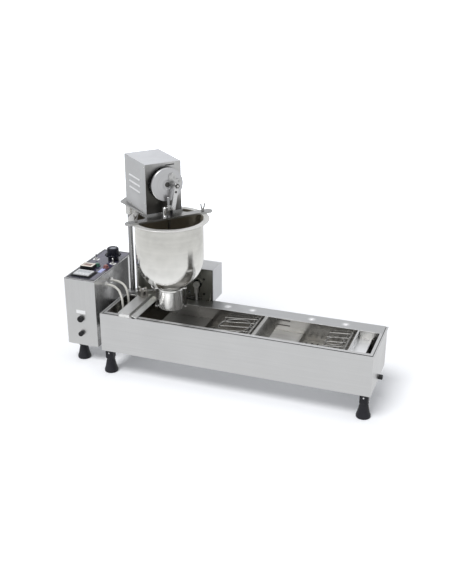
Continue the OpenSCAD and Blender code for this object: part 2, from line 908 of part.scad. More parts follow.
module counter_display() {
  color("wheat") in_machine() translate([14, control_setback + 84, panel_z]) difference() {
    linear_extrude(height = 14) rounded_rect(44, 33, 2);
    translate([5, 8, 13]) linear_extrude(height = 2) rounded_rect(34, 18, 1);
  }
}

toggle_ball_z = panel_z + 4;
toggle_ball_r = 3.3;

module toggle_bodies() {
  color("silver") in_machine() for (p = toggle_spots) translate([p[0], p[1], 0]) difference() {
    union() {
      hex([0, 0, panel_z], 2.4, 12);
      bar_z([0, 0, panel_z - panel_t], panel_t + 6, 5);
      span([-6, -9, panel_z - panel_t - sheet - 22], [6, 9, panel_z - panel_t - sheet]);
      bar_z([0, 0, panel_z - panel_t - sheet], sheet, 5);
    }
    bar_z([0, 0, panel_z - 3], 10, toggle_ball_r + run_gap);
  }
}

// A toggle lever: a stem with a rounded tip, on a ball that turns inside its bush
module toggle_lever(p) {
  in_machine() translate([p[0], p[1], 0]) {
    translate([0, 0, toggle_ball_z]) sphere(r = toggle_ball_r);
    translate([0, 0, toggle_ball_z + 1]) cylinder(h = toggle_l - 7, r1 = 1.8, r2 = 2.8);
    translate([0, 0, toggle_ball_z + toggle_l - 6]) sphere(r = 2.8);
  }
}

module toggle_lever_front() {
  color("silver") toggle_lever(toggle_spots[1]);
}

module toggle_lever_rear() {
  color("silver") toggle_lever(toggle_spots[0]);
}

module button_collars() {
  color("silver") in_machine() for (p = button_spots) translate([p[0], p[1], 0]) difference() {
    union() {
      bar_z([0, 0, panel_z], 4, button_d / 2 + 3);
      bar_z([0, 0, panel_z - 28], 28, 6 - seat_gap);
    }
    bar_z([0, 0, panel_z + 1], 5, button_d / 2 + seat_gap);
    bar_z([0, 0, panel_z - 8], 12, stem_r + run_gap);
  }
}

stem_r = 3;

// A push button: a domed cap on a stem
module push_button(p) {
  floor_z = panel_z + 1 + button_travel + seat_gap;
  in_machine() translate([p[0], p[1], 0]) {
    bar_z([0, 0, floor_z], 5, button_d / 2);
    translate([0, 0, floor_z + 5]) cylinder(h = 1.5, r1 = button_d / 2, r2 = button_d / 2 - 2);
    bar_z([0, 0, panel_z - 3], floor_z - panel_z + 3, stem_r);
  }
}

module start_button() {
  color("seagreen") push_button(button_spots[0]);
}

module stop_button() {
  color("firebrick") push_button(button_spots[1]);
}

// Large knob: a grooved cap over a lobed skirt and a hub
module power_knob() {
  lobes = 12;
  skirt_z = panel_z + knob_h - 28;
  cap_z = skirt_z + 6;
  grooves = 24;
  color("black") in_machine() translate([knob_xy[0], knob_xy[1], 0]) difference() {
    union() {
      bar_z([0, 0, panel_z + seat_gap], skirt_z - panel_z - seat_gap, knob_d / 2 - 1);
      translate([0, 0, skirt_z]) linear_extrude(height = 6) {
        circle(r = knob_skirt_d / 2 - 3);
        for (a = [0 : 360 / lobes : 359])
          rotate(a) translate([knob_skirt_d / 2 - 4.5, 0]) circle(r = 4.5);
      }
      translate([0, 0, cap_z]) cylinder(h = knob_h - 17 - 7, r1 = knob_d / 2 + 1, r2 = knob_d / 2 - 1);
      translate([0, 0, panel_z + knob_h - 2])
        cylinder(h = 2, r1 = knob_d / 2 - 1, r2 = knob_d / 2 - 3);
    }
    for (a = [0 : 360 / grooves : 359])
      rotate(a) bar_z([knob_d / 2 + 1, 0, cap_z + 3], knob_h, 1.1);
    bar_z([0, 0, panel_z + knob_h - 1.5], 3, knob_d / 2 - 8);
    bar_z([0, 0, panel_z - 1], 14, 3 + run_gap);
  }
}

module knob_regulator() {
  color("dimgray") in_machine() translate([knob_xy[0], knob_xy[1], 0]) {
    bar_z([0, 0, panel_z - panel_t - sheet - 60], 60, 24);
    bar_z([0, 0, panel_z - panel_t - sheet], panel_t + sheet + 12, 3);
  }
}

// A black screw cap on the control box's front
module front_cap(z, r, l) {
  in_machine() {
    difference() {
      union() {
        bar_y([cap_x, control_setback - l - seat_gap, z], l, r);
        for (a = [0 : 30 : 330])
          translate([cap_x, 0, z]) rotate([0, a, 0])
            bar_y([r, control_setback - l + 1, 0], l - 3, 0.9);
      }
      span(
        [cap_x - 1, control_setback - l - 2, z - r * 0.6],
        [cap_x + 1, control_setback - l + 0.7, z + r * 0.6]
      );
    }
    bar_y([cap_x, control_setback - seat_gap, z], 12, cap_stem_r);
  }
}

module reset_cap() {
  color("black") front_cap(reset_z, 10, 9);
}

module fuse_cap() {
  color("black") front_cap(fuse_z, 7.5, 12);
}

/* Drive box */

module gear_box_cover() {
  corner = 6;
  color("gainsboro") in_machine() difference() {
    union() {
      translate([gear_x + gear_w, gear_y, gear_z]) rotate([0, -90, 0])
        linear_extrude(height = gear_w) {
          square([gear_h - corner, gear_d]);
          translate([gear_h - corner, 0]) square([corner, gear_d - corner]);
          translate([gear_h - corner, gear_d - corner]) circle(r = corner);
        }
      // Bracket that bolts the drive box to the trough's back wall
      span(
        [gear_x + 20, gear_y, gear_z - 60],
        [gear_x + gear_w - 20, gear_y + 3, gear_z + sheet]
      );
    }
    span(
      [gear_x + sheet, gear_y - 1, gear_z + sheet],
      [gear_x + gear_w - sheet, gear_y + gear_d - sheet, gear_z + gear_h - sheet]
    );
    // Air slots in the back
    for (i = [0 : 7])
      span(
        [gear_x + 60 + i * 20, gear_y + gear_d - 2 * sheet, gear_z + 34],
        [gear_x + 65 + i * 20, gear_y + gear_d + 1, gear_z + 84]
      );
  }
}

plate_holes = [[-32, 72], [-85, 20], [-32, 20]];

module gear_front_plate() {
  edge = 3;
  corner = 5;
  right = gear_x + gear_w - edge;
  color("dimgray") in_machine() {
    difference() {
      translate([gear_x + edge, gear_y, rim_z]) rotate([90, 0, 0])
        linear_extrude(height = sheet) rounded_rect(gear_w - 2 * edge, gear_rise - edge, corner);
      for (p = plate_holes)
        bar_y([gear_x + gear_w + p[0], gear_y - 2 * sheet, rim_z + p[1]], 3 * sheet, 4);
      bar_y([lever_x, gear_y - 2 * sheet, lever_z], 3 * sheet, lever_hole_d / 2);
      for (x = [lever_x - 26, lever_x + 2])
        span([x, gear_y - 2 * sheet, rim_z + 2], [x + 14, gear_y + 1, rim_z + 5]);
    }
    // Gusset that ties the plate to the deck, with its hooked end
    translate([right - 2 * sheet, gear_y - sheet, rim_z]) rotate([90, 0, -90])
      linear_extrude(height = sheet) polygon([[0, 0], [0, 26], [16, 4], [16, 0]]);
    span(
      [right - 20, gear_y - sheet - 12, rim_z],
      [right - 2 * sheet - sheet, gear_y - sheet, rim_z + sheet]
    );
  }
}

module drive_motor() {
  half = 34;
  front = gear_y + 30;
  back = front + 32;
  color("slategray") in_machine() {
    difference() {
      span([lever_x - half, front, lever_z - half], [lever_x + half, back, lever_z + half]);
      bar_y([lever_x, front - 1, lever_z], 20, drive_shaft_r + run_gap);
    }
    bar_x([gear_x + 40, gear_y + 46, lever_z], lever_x - half - gear_x - 40, 25);
    // Foot that stands on the cover's floor
    span(
      [lever_x - half + 4, front + 2, gear_z + sheet],
      [lever_x + half - 4, back - 2, lever_z - half]
    );
  }
}

/* Column and head */

module column() {
  color("silver") in_machine()
    bar_z([column_xy[0], column_xy[1], rim_z - 40], yoke_top - rim_z + 40, column_d / 2);
}

module column_base() {
  boss_r = column_d / 2 + 11;
  color("silver") in_machine() translate([column_xy[0], column_xy[1], 0]) difference() {
    union() {
      translate([0, 0, rim_z]) linear_extrude(height = 5) {
        circle(r = boss_r + 2);
        translate([0, -boss_r]) square([32, 22]);
      }
      bar_z([0, 0, rim_z + 5], 8, boss_r);
    }
    bar_z([0, 0, rim_z - 1], 20, column_d / 2);
    bar_z([26, -boss_r + 7, rim_z - 1], 8, 3);
  }
}

module head_clamp() {
  clamp_r = column_d / 2 + 5;
  clamp_h = 34;
  color("gainsboro") in_head() translate([column_place[0], column_place[1], 0]) difference() {
    union() {
      bar_z([0, 0, yoke_top - clamp_h], clamp_h, clamp_r);
      span([clamp_r - 4, -7, yoke_top - clamp_h], [clamp_r + 12, 7, yoke_top - 8]);
      bar_y([clamp_r + 5, -12, yoke_top - 20], 24, 4);
    }
    bar_z([0, 0, yoke_top - clamp_h - 1], clamp_h + 2, column_d / 2);
    span([0, -1, yoke_top - clamp_h - 1], [clamp_r + 20, 1, yoke_top - 9]);
  }
}

// The yoke's outline: a bar with cut corners and a wide neck with filleted joints
module yoke_outline() {
  tip = 9;
  half = yoke_w / 2;
  neck_l = -69;
  neck_r = 62;
  neck_v = 66;
  fillet = 14;
  difference() {
    union() {
      translate([yoke_shift, 0]) polygon([
        [-yoke_reach, -half + tip],
        [-yoke_reach + tip, -half],
        [yoke_reach - tip, -half],
        [yoke_reach, -half + tip],
        [yoke_reach, half - tip],
        [yoke_reach - tip, half],
        [-yoke_reach + tip, half],
        [-yoke_reach, half - tip]
      ]);
      translate([neck_l - fillet, half - 1])
        square([neck_r - neck_l + 2 * fillet, fillet + 1]);
      translate([neck_l, half]) square([neck_r - neck_l, neck_v - half]);
    }
    translate([neck_l - fillet, half + fillet]) circle(r = fillet);
    translate([neck_r + fillet, half + fillet]) circle(r = fillet);
  }
}

module yoke_bar() {
  color("silver") in_head() translate([0, 0, yoke_top - yoke_t]) linear_extrude(height = yoke_t)
    difference() {
      yoke_outline();
      circle(r = plunger_d / 2 + run_gap);
      for (side = [-1, 1])
        translate([wing_shift + side * wing_at, 0]) circle(r = wing_bolt_d / 2 + run_gap);
    }
}

module motor_base() {
  left = cover_w / 2 + 18;
  left_front = cover_w / 2 + 2;
  right = cover_w / 2 + 4;
  front = cover_back - 2;
  back = cover_back + cover_d + 38;
  cut = 30;
  color("silver") in_head() difference() {
    translate([0, 0, yoke_top]) linear_extrude(height = base_t) polygon([
      [-left_front, front],
      [right, front],
      [right, back - cut],
      [right - cut, back],
      [-left + cut, back],
      [-left, back - cut]
    ]);
    // Guide bore of the lift rod
    bar_z([rocker_u, lift_v, yoke_top - 1], base_t + 2, lift_r + run_gap);
  }
}

// Sheet cover with a round opening in front, pressed louvres and a slot
module motor_cover() {
  half = cover_w / 2;
  color("gainsboro") in_head() difference() {
    union() {
      difference() {
        span([-half, cover_back, base_top], [half, cover_back + cover_d, base_top + cover_h]);
        span(
          [-half + sheet, cover_back + sheet, base_top - 1],
          [half - sheet, cover_back + cover_d - sheet, base_top + cover_h - sheet]
        );
      }
      for (side = [-1, 1], i = [0 : 2]) louvre(side, i, 0);
    }
    for (side = [-1, 1], i = [0 : 2]) louvre(side, i, 1.2);
    bar_y([crank_u, cover_back - 1, crank_z], sheet + 2, opening_r);
    span(
      [crank_u + 4, cover_back - 1, crank_z + opening_r + 2.5],
      [crank_u + 34, cover_back + 2 * sheet, crank_z + opening_r + 6]
    );
  }
}

louvre_l = 84;
louvre_rise = 2.6;

// A pressed louvre on the cover's side, open below: its hood, or with an inset the hollow in it
module louvre(side, i, inset) {
  r = 2 * louvre_rise - inset;
  inner = inset > 0 ? -r - 1 : louvre_rise - sheet;
  out = [side * (cover_w / 2 - louvre_rise), cover_back + 44 + inset, base_top + 97 - i * 20];
  translate(out) intersection() {
    bar_y([0, 0, 0], louvre_l - 2 * inset, r);
    span(
      [side > 0 ? inner : -r - 1, -1, -inset / 4],
      [side > 0 ? r + 1 : -inner, louvre_l + 1, r + 1]
    );
  }
}

box_v = cover_back + 22;

module head_gearmotor() {
  color("slategray") in_head() {
    // Gearbox block with its output bore, motor barrel behind it and feet on the base
    difference() {
      span([crank_u - 36, box_v, base_top], [crank_u + 36, box_v + 40, crank_z + 36]);
      bar_y([crank_u, box_v - 1, crank_z], shaft_in + 2, shaft_r + run_gap);
    }
    bar_y([crank_u, box_v + 40, crank_z - 6], 78, 32);
    span([crank_u - 24, box_v + 60, base_top], [crank_u + 24, box_v + 100, crank_z - 34]);
  }
}

/* Crank drive */

crank_pin = [crank_u + crank_throw, crank_z];

module crank_disc() {
  color("gainsboro") in_head() {
    difference() {
      bar_y([crank_u, crank_v, crank_z], crank_t, crank_r);
      bar_y([crank_u, crank_v - 1, crank_z], 3, 14);
    }
    bar_y([crank_u, crank_v + 2 - bolt_head_t, crank_z], bolt_head_t, 8);
    bar_y([crank_u, crank_v + crank_t, crank_z], box_v + shaft_in - crank_v - crank_t, shaft_r);
  }
}

// Adjusting bracket bolted to the disc, which carries the crank pin
module crank_bracket() {
  front = crank_v - bracket_t;
  color("silver") in_head() {
    translate([0, crank_v, 0]) rotate([90, 0, 0]) linear_extrude(height = bracket_t)
      difference() {
        union() {
          translate(crank_pin) circle(r = 15);
          translate([crank_pin[0] - 4, crank_pin[1] + 24]) circle(r = 12);
          translate([crank_pin[0] + 14, crank_pin[1] + 3]) circle(r = 13);
          translate([crank_pin[0] - 15, crank_pin[1]]) square([22, 26]);
        }
        translate([crank_u, crank_z]) circle(r = 9.5);
      }
    for (p = [[-6, 30], [4, 21], [20, 7], [11, -10]])
      translate([crank_pin[0] + p[0], front, crank_pin[1] + p[1]]) rotate([90, 0, 0])
        hex([0, 0, 0], bolt_head_t, 7);
    bar_y([crank_pin[0], rod_v - rod_t - 2, crank_pin[1]], front - rod_v + rod_t + 2, crank_pin_d / 2);
  }
}

// Flat rod with an eye at each end; the upper eye turns on the crank pin
module connecting_rod() {
  low = [crank_pin[0] - rod_lean, rod_low_z];
  color("silver") in_head() {
    translate([0, rod_v, 0]) rotate([90, 0, 0]) linear_extrude(height = rod_t) difference() {
      union() {
        translate(crank_pin) circle(r = rod_w / 2 + 2);
        translate(low) circle(r = rod_w / 2);
        polygon([
          [crank_pin[0] - rod_w / 2 - 1, crank_pin[1]],
          [crank_pin[0] + rod_w / 2 + 1, crank_pin[1]],
          [low[0] + rod_w / 2, low[1]],
          [low[0] - rod_w / 2, low[1]]
        ]);
      }
      translate(crank_pin) circle(r = crank_pin_d / 2 + run_gap);
    }
    translate([low[0], rod_v - rod_t, low[1]]) rotate([90, 0, 0]) hex([0, 0, 0], 3, 10);
  }
}

module plunger_rod() {
  color("silver") in_head()
    bar_z([0, 0, piston_z + piston_h], plunger_top - piston_z - piston_h, plunger_d / 2);
}

piston_h = 20;
piston_z = nozzle_z + 6 + crank_throw;
plunger_top = crank_z - crank_throw - crank_pin_d / 2 - 11;

// Plate that joins the connecting rod's lower end to the plunger rod
module crosshead() {
  low_u = crank_pin[0] - rod_lean;
  hub_r = plunger_d / 2 + 1.2;
  color("gray") in_head() {
    difference() {
      union() {
        bar_z([0, 0, rod_low_z - 7], 16, hub_r);
        span([-hub_r, plate_v, rod_low_z - 7], [low_u + 7, plate_v + 3.5, rod_low_z + 8]);
      }
      bar_z([0, 0, rod_low_z - 20], 40, plunger_d / 2);
    }
  }
}

module forming_piston() {
  color("gainsboro") in_head() {
    bar_z([0, 0, piston_z], piston_h, nozzle_bore_r - 1);
    translate([0, 0, piston_z - 4]) cylinder(h = 4, r1 = nozzle_bore_r - 4, r2 = nozzle_bore_r - 1);
  }
}

// Two posts on the yoke beside the plunger: a bright guide and a black buffer
module guide_posts() {
  color("gainsboro") in_head() {
    bar_z([-11.5, 4.5, yoke_top], 30, 5.8);
    bar_z([12, 5, yoke_top], 18, 4.5);
  }
}

/* Hopper and nozzle */

module hopper_bowl() {
  cap_z = bowl_low + bowl_r;
  out_r = bowl_r;
  in_r = bowl_r - bowl_t;
  mouth_r = nozzle_bore_r;
  a_out = asin((mouth_r + 4) / out_r);
  a_in = asin((mouth_r) / in_r);
  steps = 12;
  color("whitesmoke") in_head() rotate_extrude($fn = 96) polygon(concat(
    [for (i = [0 : steps]) let (a = a_out + (90 - a_out) * i / steps)
      [out_r * sin(a), cap_z - out_r * cos(a)]],
    [
      [out_r, rim_top - 2 * bowl_t],
      [out_r + 2, rim_top - bowl_t],
      [bowl_rim_r - 1, rim_top - bowl_t],
      [bowl_rim_r, rim_top - bowl_t / 2],
      [bowl_rim_r - 1, rim_top],
      [in_r + 2, rim_top],
      [in_r, rim_top - 2]
    ],
    [for (i = [0 : steps]) let (a = 90 - (90 - a_in) * i / steps)
      [in_r * sin(a), cap_z - in_r * cos(a)]]
  ));
}

// Nozzle: flange under the hopper, a thick sleeve and two lugs for the side rods
module nozzle() {
  seat_z = bowl_seat_z;
  color("whitesmoke") in_head() difference() {
    union() {
      bar_z([0, 0, nozzle_z], seat_z - nozzle_z - 6, nozzle_r);
      bar_z([0, 0, seat_z - 6], 6, nozzle_r + 1.5);
      for (side = [-1, 1], z = [nozzle_z + 2, seat_z - 6])
        rod_lug(side, z);
    }
    bar_z([0, 0, nozzle_z - 1], seat_z - nozzle_z + 2, nozzle_bore_r);
    rotate([0, 0, side_turn]) for (side = [-1, 1])
      bar_z([side * side_rod_at, 0, nozzle_z - 1], seat_z - nozzle_z + 2, side_rod_d / 2);
  }
}

// Lug on the nozzle that a side rod passes through
module rod_lug(side, z) {
  translate([0, 0, z]) rotate([0, 0, side_turn]) linear_extrude(height = 4) {
    translate([side * side_rod_at, 0]) circle(r = side_rod_d / 2 + 3);
    translate([side > 0 ? nozzle_r - 4 : -side_rod_at, -4]) square([side_rod_at - nozzle_r + 4, 8]);
  }
}

module nozzle_rods() {
  color("silver") in_head() rotate([0, 0, side_turn]) for (side = [-1, 1])
    translate([side * side_rod_at, 0, 0]) {
    bar_z([0, 0, nozzle_z - 1], bowl_seat_z - nozzle_z + 4, side_rod_d / 2);
    difference() {
      hex([0, 0, nozzle_z + 6], 4.5, 9);
      bar_z([0, 0, nozzle_z], 20, side_rod_d / 2);
    }
    difference() {
      hex([0, 0, bowl_seat_z - 2], 4, 9);
      bar_z([0, 0, bowl_seat_z - 8], 20, side_rod_d / 2);
    }
  }
}

// Wing bolt: a threaded stem with a collar and two swept wings
module wing_bolt(side) {
  in_head() translate([wing_shift + side * wing_at, 0, 0]) {
    bar_z([0, 0, rim_top + seat_gap], yoke_t, wing_bolt_d / 2);
    bar_z([0, 0, yoke_top + seat_gap], 8, 5.5);
    for (turn = [0, 180]) rotate([90, 0, turn]) translate([0, yoke_top + seat_gap, -1.5])
      linear_extrude(height = 3) {
        polygon([[2, 3], [6, 8], [11, 22], [15, 22], [13, 12], [6, 1]]);
        translate([13, 22]) circle(r = 2);
      }
  }
}

module wing_bolt_left() {
  color("silver") wing_bolt(-1);
}

module wing_bolt_right() {
  color("silver") wing_bolt(1);
}

/* Left linkage */

bridge_x = trough_x + 65;
bridge_w = 40;
bridge_rise = 13;

// Folded plate across the tank: a raised top, a gutter, a ridge and a drip edge
module bridge_plate() {
  y0 = rim_fold / 2;
  y1 = tank_back + 6;
  x = bridge_x;
  top = rim_z + bridge_rise;
  color("silver") in_machine() translate([0, y1, 0]) rotate([90, 0, 0])
    linear_extrude(height = y1 - y0) polygon([
      [x, rim_z],
      [x, top],
      [x + bridge_w, top],
      [x + bridge_w, rim_z + sheet],
      [x + bridge_w + 5, rim_z + sheet],
      [x + bridge_w + 5, rim_z + 7],
      [x + bridge_w + 9, rim_z + 7],
      [x + bridge_w + 24, rim_z + 2],
      [x + bridge_w + 24, rim_z],
      [x + bridge_w + 22, rim_z],
      [x + bridge_w + 8, rim_z + 5],
      [x + bridge_w + 6.5, rim_z + 5],
      [x + bridge_w + 6.5, rim_z],
      [x + bridge_w - sheet, rim_z],
      [x + bridge_w - sheet, top - sheet],
      [x + sheet, top - sheet],
      [x + sheet, rim_z]
    ]);
}

// Bronze block on the bridge; the rocker's shaft turns in it
module bearing_block() {
  color("peru") in_head() difference() {
    translate([rocker_u, rocker_v, rim_z + bridge_rise]) union() {
      span([-12, -14, 0], [-4, 14, rocker_z - rim_z - bridge_rise]);
      span([5, -14, 0], [13, 14, rocker_z - rim_z - bridge_rise]);
      span([-12, -14, 0], [13, 14, 6]);
      bar_x([-12, 0, rocker_z - rim_z - bridge_rise], 8, 10);
      bar_x([5, 0, rocker_z - rim_z - bridge_rise], 8, 10);
    }
    bar_x([rocker_u - 20, rocker_v, rocker_z], 40, 4 + run_gap);
  }
}

rocker_tip = [rocker_u + 3, 38, rocker_z + tip_rise];
rocker_tail = [rocker_u, lift_v - 11, rocker_z - 2];
rocker_end = [rocker_u + 1, 62, rocker_tip[2] + end_rise];

module rocker_arm() {
  color("gray") in_head() {
    bar_x([rocker_u - 13, rocker_v, rocker_z], rocker_w, 4);
    bar_x([rocker_u - 3.5, rocker_v, rocker_z], 8, 8);
    rod_between([rocker_u, rocker_v - 4, rocker_z + 0.5], rocker_tip, 3);
    rod_between([rocker_u, rocker_v + 4, rocker_z], rocker_tail, 3);
    // Short arm that folds back under the hopper
    rod_between(rocker_tip, rocker_end, 2);
    bar_x([rocker_tip[0] - 3, rocker_tip[1], rocker_tip[2]], 6, 6);
    bar_x([rocker_tail[0] - 3, rocker_tail[1], rocker_tail[2]], 6, 5);
  }
}

// Upright rod behind the hopper, guided in the motor's base plate
module lift_rod() {
  color("white") in_head() {
    bar_z([rocker_u, lift_v, rim_z + 20], base_top + 3 - rim_z - 20, lift_r);
    bar_z([rocker_u, lift_v, rim_z + 20], 6, lift_r + 1.5);
  }
}

/* Fasteners */

module screw_up(p, r) {
  bar_z(p, 1.2, r);
}

module screws() {
  half = cover_w / 2;
  color("silver") {
    in_machine() {
      // Deck
      for (x = [trough_x + 370, trough_x + 455, trough_end - 240, trough_end - 130])
        screw_up([x, trough_d - 28, rim_z], 5);
      // Feet
      for (spot = foot_spots)
        bar_y([spot[0], spot[1] - foot_top_r - 1, foot_screw_z(spot)], 6, 3);
    }
    in_head() {
      // Motor cover's sides and front corners
      for (side = [-1, 1], p = [[9, 148], [9, 32], [34, 6], [122, 5]])
        bar_x(
          [side > 0 ? half : -half - 1.2, cover_back + p[0], base_top + p[1]], 1.2, 3
        );
    }
  }
}

trough_housing();
oil_tank();
back_deck();
tank_partition();
landing_tray();
transfer_tray();
discharge_chute();
drain_spigot();
drain_cap();
rubber_feet();
flipper_one();
flipper_two();
flipper_link();
drive_lever();
heating_element();
heater_fittings();
control_housing();
control_panel();
control_back_cover();
temperature_controller();
counter_display();
toggle_bodies();
toggle_lever_front();
toggle_lever_rear();
start_button();
stop_button();
button_collars();
power_knob();
knob_regulator();
reset_cap();
fuse_cap();
cable_gland();
wiring_duct();
gear_box_cover();
gear_front_plate();
drive_motor();
column();
column_base();
head_clamp();
yoke_bar();
motor_base();
motor_cover();
head_gearmotor();
crank_disc();
crank_bracket();
connecting_rod();
plunger_rod();
crosshead();
forming_piston();
hopper_bowl();
nozzle();
nozzle_rods();
guide_posts();
wing_bolt_left();
wing_bolt_right();
bridge_plate();
bearing_block();
rocker_arm();
lift_rod();
screws();
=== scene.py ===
import json
import math

import bmesh
import bpy
from mathutils import Matrix, Vector
from mathutils.geometry import interpolate_bezier


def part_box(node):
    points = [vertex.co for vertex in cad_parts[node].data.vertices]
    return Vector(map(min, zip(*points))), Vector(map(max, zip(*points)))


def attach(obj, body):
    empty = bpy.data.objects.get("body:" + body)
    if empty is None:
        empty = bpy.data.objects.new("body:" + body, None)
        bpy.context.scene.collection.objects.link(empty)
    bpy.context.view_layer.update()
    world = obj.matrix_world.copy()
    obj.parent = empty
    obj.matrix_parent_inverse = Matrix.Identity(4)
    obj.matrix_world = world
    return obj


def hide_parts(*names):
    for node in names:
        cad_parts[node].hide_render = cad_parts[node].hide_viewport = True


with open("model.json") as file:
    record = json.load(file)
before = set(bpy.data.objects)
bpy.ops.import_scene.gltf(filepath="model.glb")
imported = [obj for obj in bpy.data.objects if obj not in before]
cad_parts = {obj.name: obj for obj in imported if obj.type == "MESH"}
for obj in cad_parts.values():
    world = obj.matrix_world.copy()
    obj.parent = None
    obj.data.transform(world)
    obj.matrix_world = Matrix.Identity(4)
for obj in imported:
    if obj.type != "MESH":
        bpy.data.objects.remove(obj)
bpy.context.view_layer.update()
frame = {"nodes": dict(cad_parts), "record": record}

# Places are in millimetres: along the machine from the control box's left side, back from the
# trough's front face, and up from the bench. The head has its own axes, turned about the hopper.
layout = {
    "troughStart": 157, "rimHeight": 219, "headTurn": 48.5, "yokeTop": 539, "crankHeight": 637,
}


def standing(x, y, z):
    return Matrix.Translation((x, y, z))


def rotated(degrees, axis):
    return Matrix.Rotation(math.radians(degrees), 4, axis)


def alongX(x, y, z):
    return standing(x, y, z) @ rotated(90, "Y")


def alongY(x, y, z):
    return standing(x, y, z) @ rotated(-90, "X")


def facingFront(x, y, z):
    return standing(x, y, z) @ rotated(90, "X")


casingLow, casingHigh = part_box("trough_housing")
plungerLow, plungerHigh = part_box("plunger_rod")
hopperMid = (plungerLow + plungerHigh) / 2
toMetres = Matrix.Scale(0.001, 4)
machineMatrix = standing(casingLow.x - layout["troughStart"] / 1000, casingLow.y, 0) @ toMetres
headMatrix = (
    standing(hopperMid.x, hopperMid.y, 0) @ rotated(layout["headTurn"], "Z") @ toMetres
)


def atMachine(x, y, z):
    return tuple(machineMatrix @ Vector((x, y, z)))


def atHead(u, v, z):
    return tuple(headMatrix @ Vector((u, v, z)))


# Shader nodes, and node groups for the effects that several finishes share


def join(source, target):
    if isinstance(source, bpy.types.NodeSocket):
        target.id_data.links.new(source, target)
    else:
        target.default_value = source


def addNode(kind, settings=None, inputs=(), tree=None):
    # Settings are options or named inputs; inputs fill the node's sockets from the first on.
    # Without a tree, the node goes where the sockets are that feed it.
    settings = settings or {}
    for value in (*settings.values(), *inputs):
        tree = tree or (value.id_data if isinstance(value, bpy.types.NodeSocket) else None)
    node = tree.nodes.new("ShaderNode" + kind)
    for key, value in settings.items():
        if key in node.inputs:
            join(value, node.inputs[key])
        else:
            setattr(node, key, value)
    for socket, value in zip(node.inputs, inputs):
        join(value, socket)
    return node


def compute(operation, *inputs):
    return addNode("Math", {"operation": operation}, inputs).outputs[0]


def vectorMath(operation, *inputs):
    outputs = addNode("VectorMath", {"operation": operation}, inputs).outputs
    return outputs["Value" if operation in ("LENGTH", "DISTANCE", "DOT_PRODUCT") else "Vector"]


def remap(value, fromLow, fromHigh, toLow=0.0, toHigh=1.0, kind="SMOOTHSTEP"):
    inputs = (value, fromLow, fromHigh, toLow, toHigh)
    return addNode("MapRange", {"interpolation_type": kind}, inputs).outputs["Result"]


def noise(vector, scale, detail=4.0, roughness=0.55):
    return addNode("TexNoise", {
        "Vector": vector, "Scale": scale, "Detail": detail, "Roughness": roughness,
    }).outputs["Fac"]


def splitVector(vector):
    return addNode("SeparateXYZ", inputs=[vector]).outputs


def packVector(*parts):
    return addNode("CombineXYZ", inputs=parts).outputs[0]


def faceNormal(tree):
    return splitVector(addNode("NewGeometry", tree=tree).outputs["Normal"])


def mixColours(share, low, high):
    node = addNode("Mix", {"data_type": "RGBA"}, tree=share.id_data)
    for index, value in ((0, share), (6, low), (7, high)):
        join(value, node.inputs[index])
    return node.outputs[2]


def asGroup(**inputs):
    # Makes a node group of a function that gives named masks, with a Vector and these inputs
    def build(shade):
        tree = bpy.data.node_groups.new(shade.__name__, "ShaderNodeTree")
        for label, value in {"Vector": None, **inputs}.items():
            kind = "Float" if isinstance(value, float) else "Vector"
            socket = tree.interface.new_socket(
                name=label, in_out="INPUT", socket_type="NodeSocket" + kind)
            if value is not None:
                socket.default_value = value
        masks = shade(tree.nodes.new("NodeGroupInput").outputs)
        for label in masks:
            tree.interface.new_socket(name=label, in_out="OUTPUT", socket_type="NodeSocketFloat")
        made = tree.nodes.new("NodeGroupOutput").inputs
        for label, mask in masks.items():
            join(mask, made[label])
        return tree
    return build


@asGroup(Drawn=45.0, Upright=0.0, Scale=26.0)
def brushedGrain(given):
    # Belt lines: along the sheet on level and upright faces, or straight up where Upright is 1
    place = splitVector(given["Vector"])
    level = compute("ABSOLUTE", faceNormal(given["Vector"].id_data)["Z"])
    upright = given["Upright"]
    lying = compute("SUBTRACT", 1.0, upright)
    fast = compute("SUBTRACT", given["Drawn"], 1.0)
    steep = compute("MULTIPLY", compute("SUBTRACT", 1.0, level), upright)
    shares = {"X": upright, "Y": compute("MULTIPLY_ADD", level, lying, steep), "Z": lying}
    drawn = packVector(*(
        compute("MULTIPLY", place[axis], compute("MULTIPLY_ADD", fast, share, 1.0))
        for axis, share in shares.items()
    ))
    broad = noise(drawn, compute("MULTIPLY", given["Scale"], 0.16), 3.0)
    return {
        "Grain": noise(drawn, given["Scale"], 5.0, 0.7),
        "Streak": remap(broad, 0.35, 0.65),
    }


@asGroup(Size=8.0)
def smudges(given):
    # Wide soft clouds, as of wiping and handling, and small spots
    cloud = noise(given["Vector"], given["Size"], 3.0, 0.6)
    spots = noise(given["Vector"], compute("MULTIPLY", given["Size"], 9.0), 2.0)
    return {
        "Cloud": remap(cloud, 0.35, 0.68),
        "Spots": remap(spots, 0.60, 0.72),
    }


@asGroup(Low=0.1, High=0.22)
def oilFilm(given):
    # Cooked oil: the lower in the tank, the thicker and browner, with a ragged upper edge
    clouds = noise(given["Vector"], 26.0, 4.0, 0.6)
    ragged = remap(clouds, 0.3, 0.7, -0.012, 0.012)
    height = compute("ADD", splitVector(given["Vector"])["Z"], ragged)
    return {"Film": remap(height, given["Low"], given["High"], 1.0, 0.0)}


@asGroup(Centre=(0, 0, 0), Axis=(0, 0, 1), Pitch=500.0, Bands=1.0)
def turnedRings(given):
    # Tool marks round an axis: rings by radius on a face, bands by height on a side
    away = vectorMath("SUBTRACT", given["Vector"], given["Centre"])
    radius = vectorMath("LENGTH", vectorMath("CROSS_PRODUCT", away, given["Axis"]))
    height = vectorMath("DOT_PRODUCT", away, given["Axis"])
    along = packVector(radius, compute("MULTIPLY", height, given["Bands"]), 0.0)
    sweep = noise(along, compute("MULTIPLY", given["Pitch"], 0.12), 2.0)
    return {
        "Rings": noise(along, given["Pitch"], 4.0, 0.7),
        "Sweep": remap(sweep, 0.35, 0.65),
    }


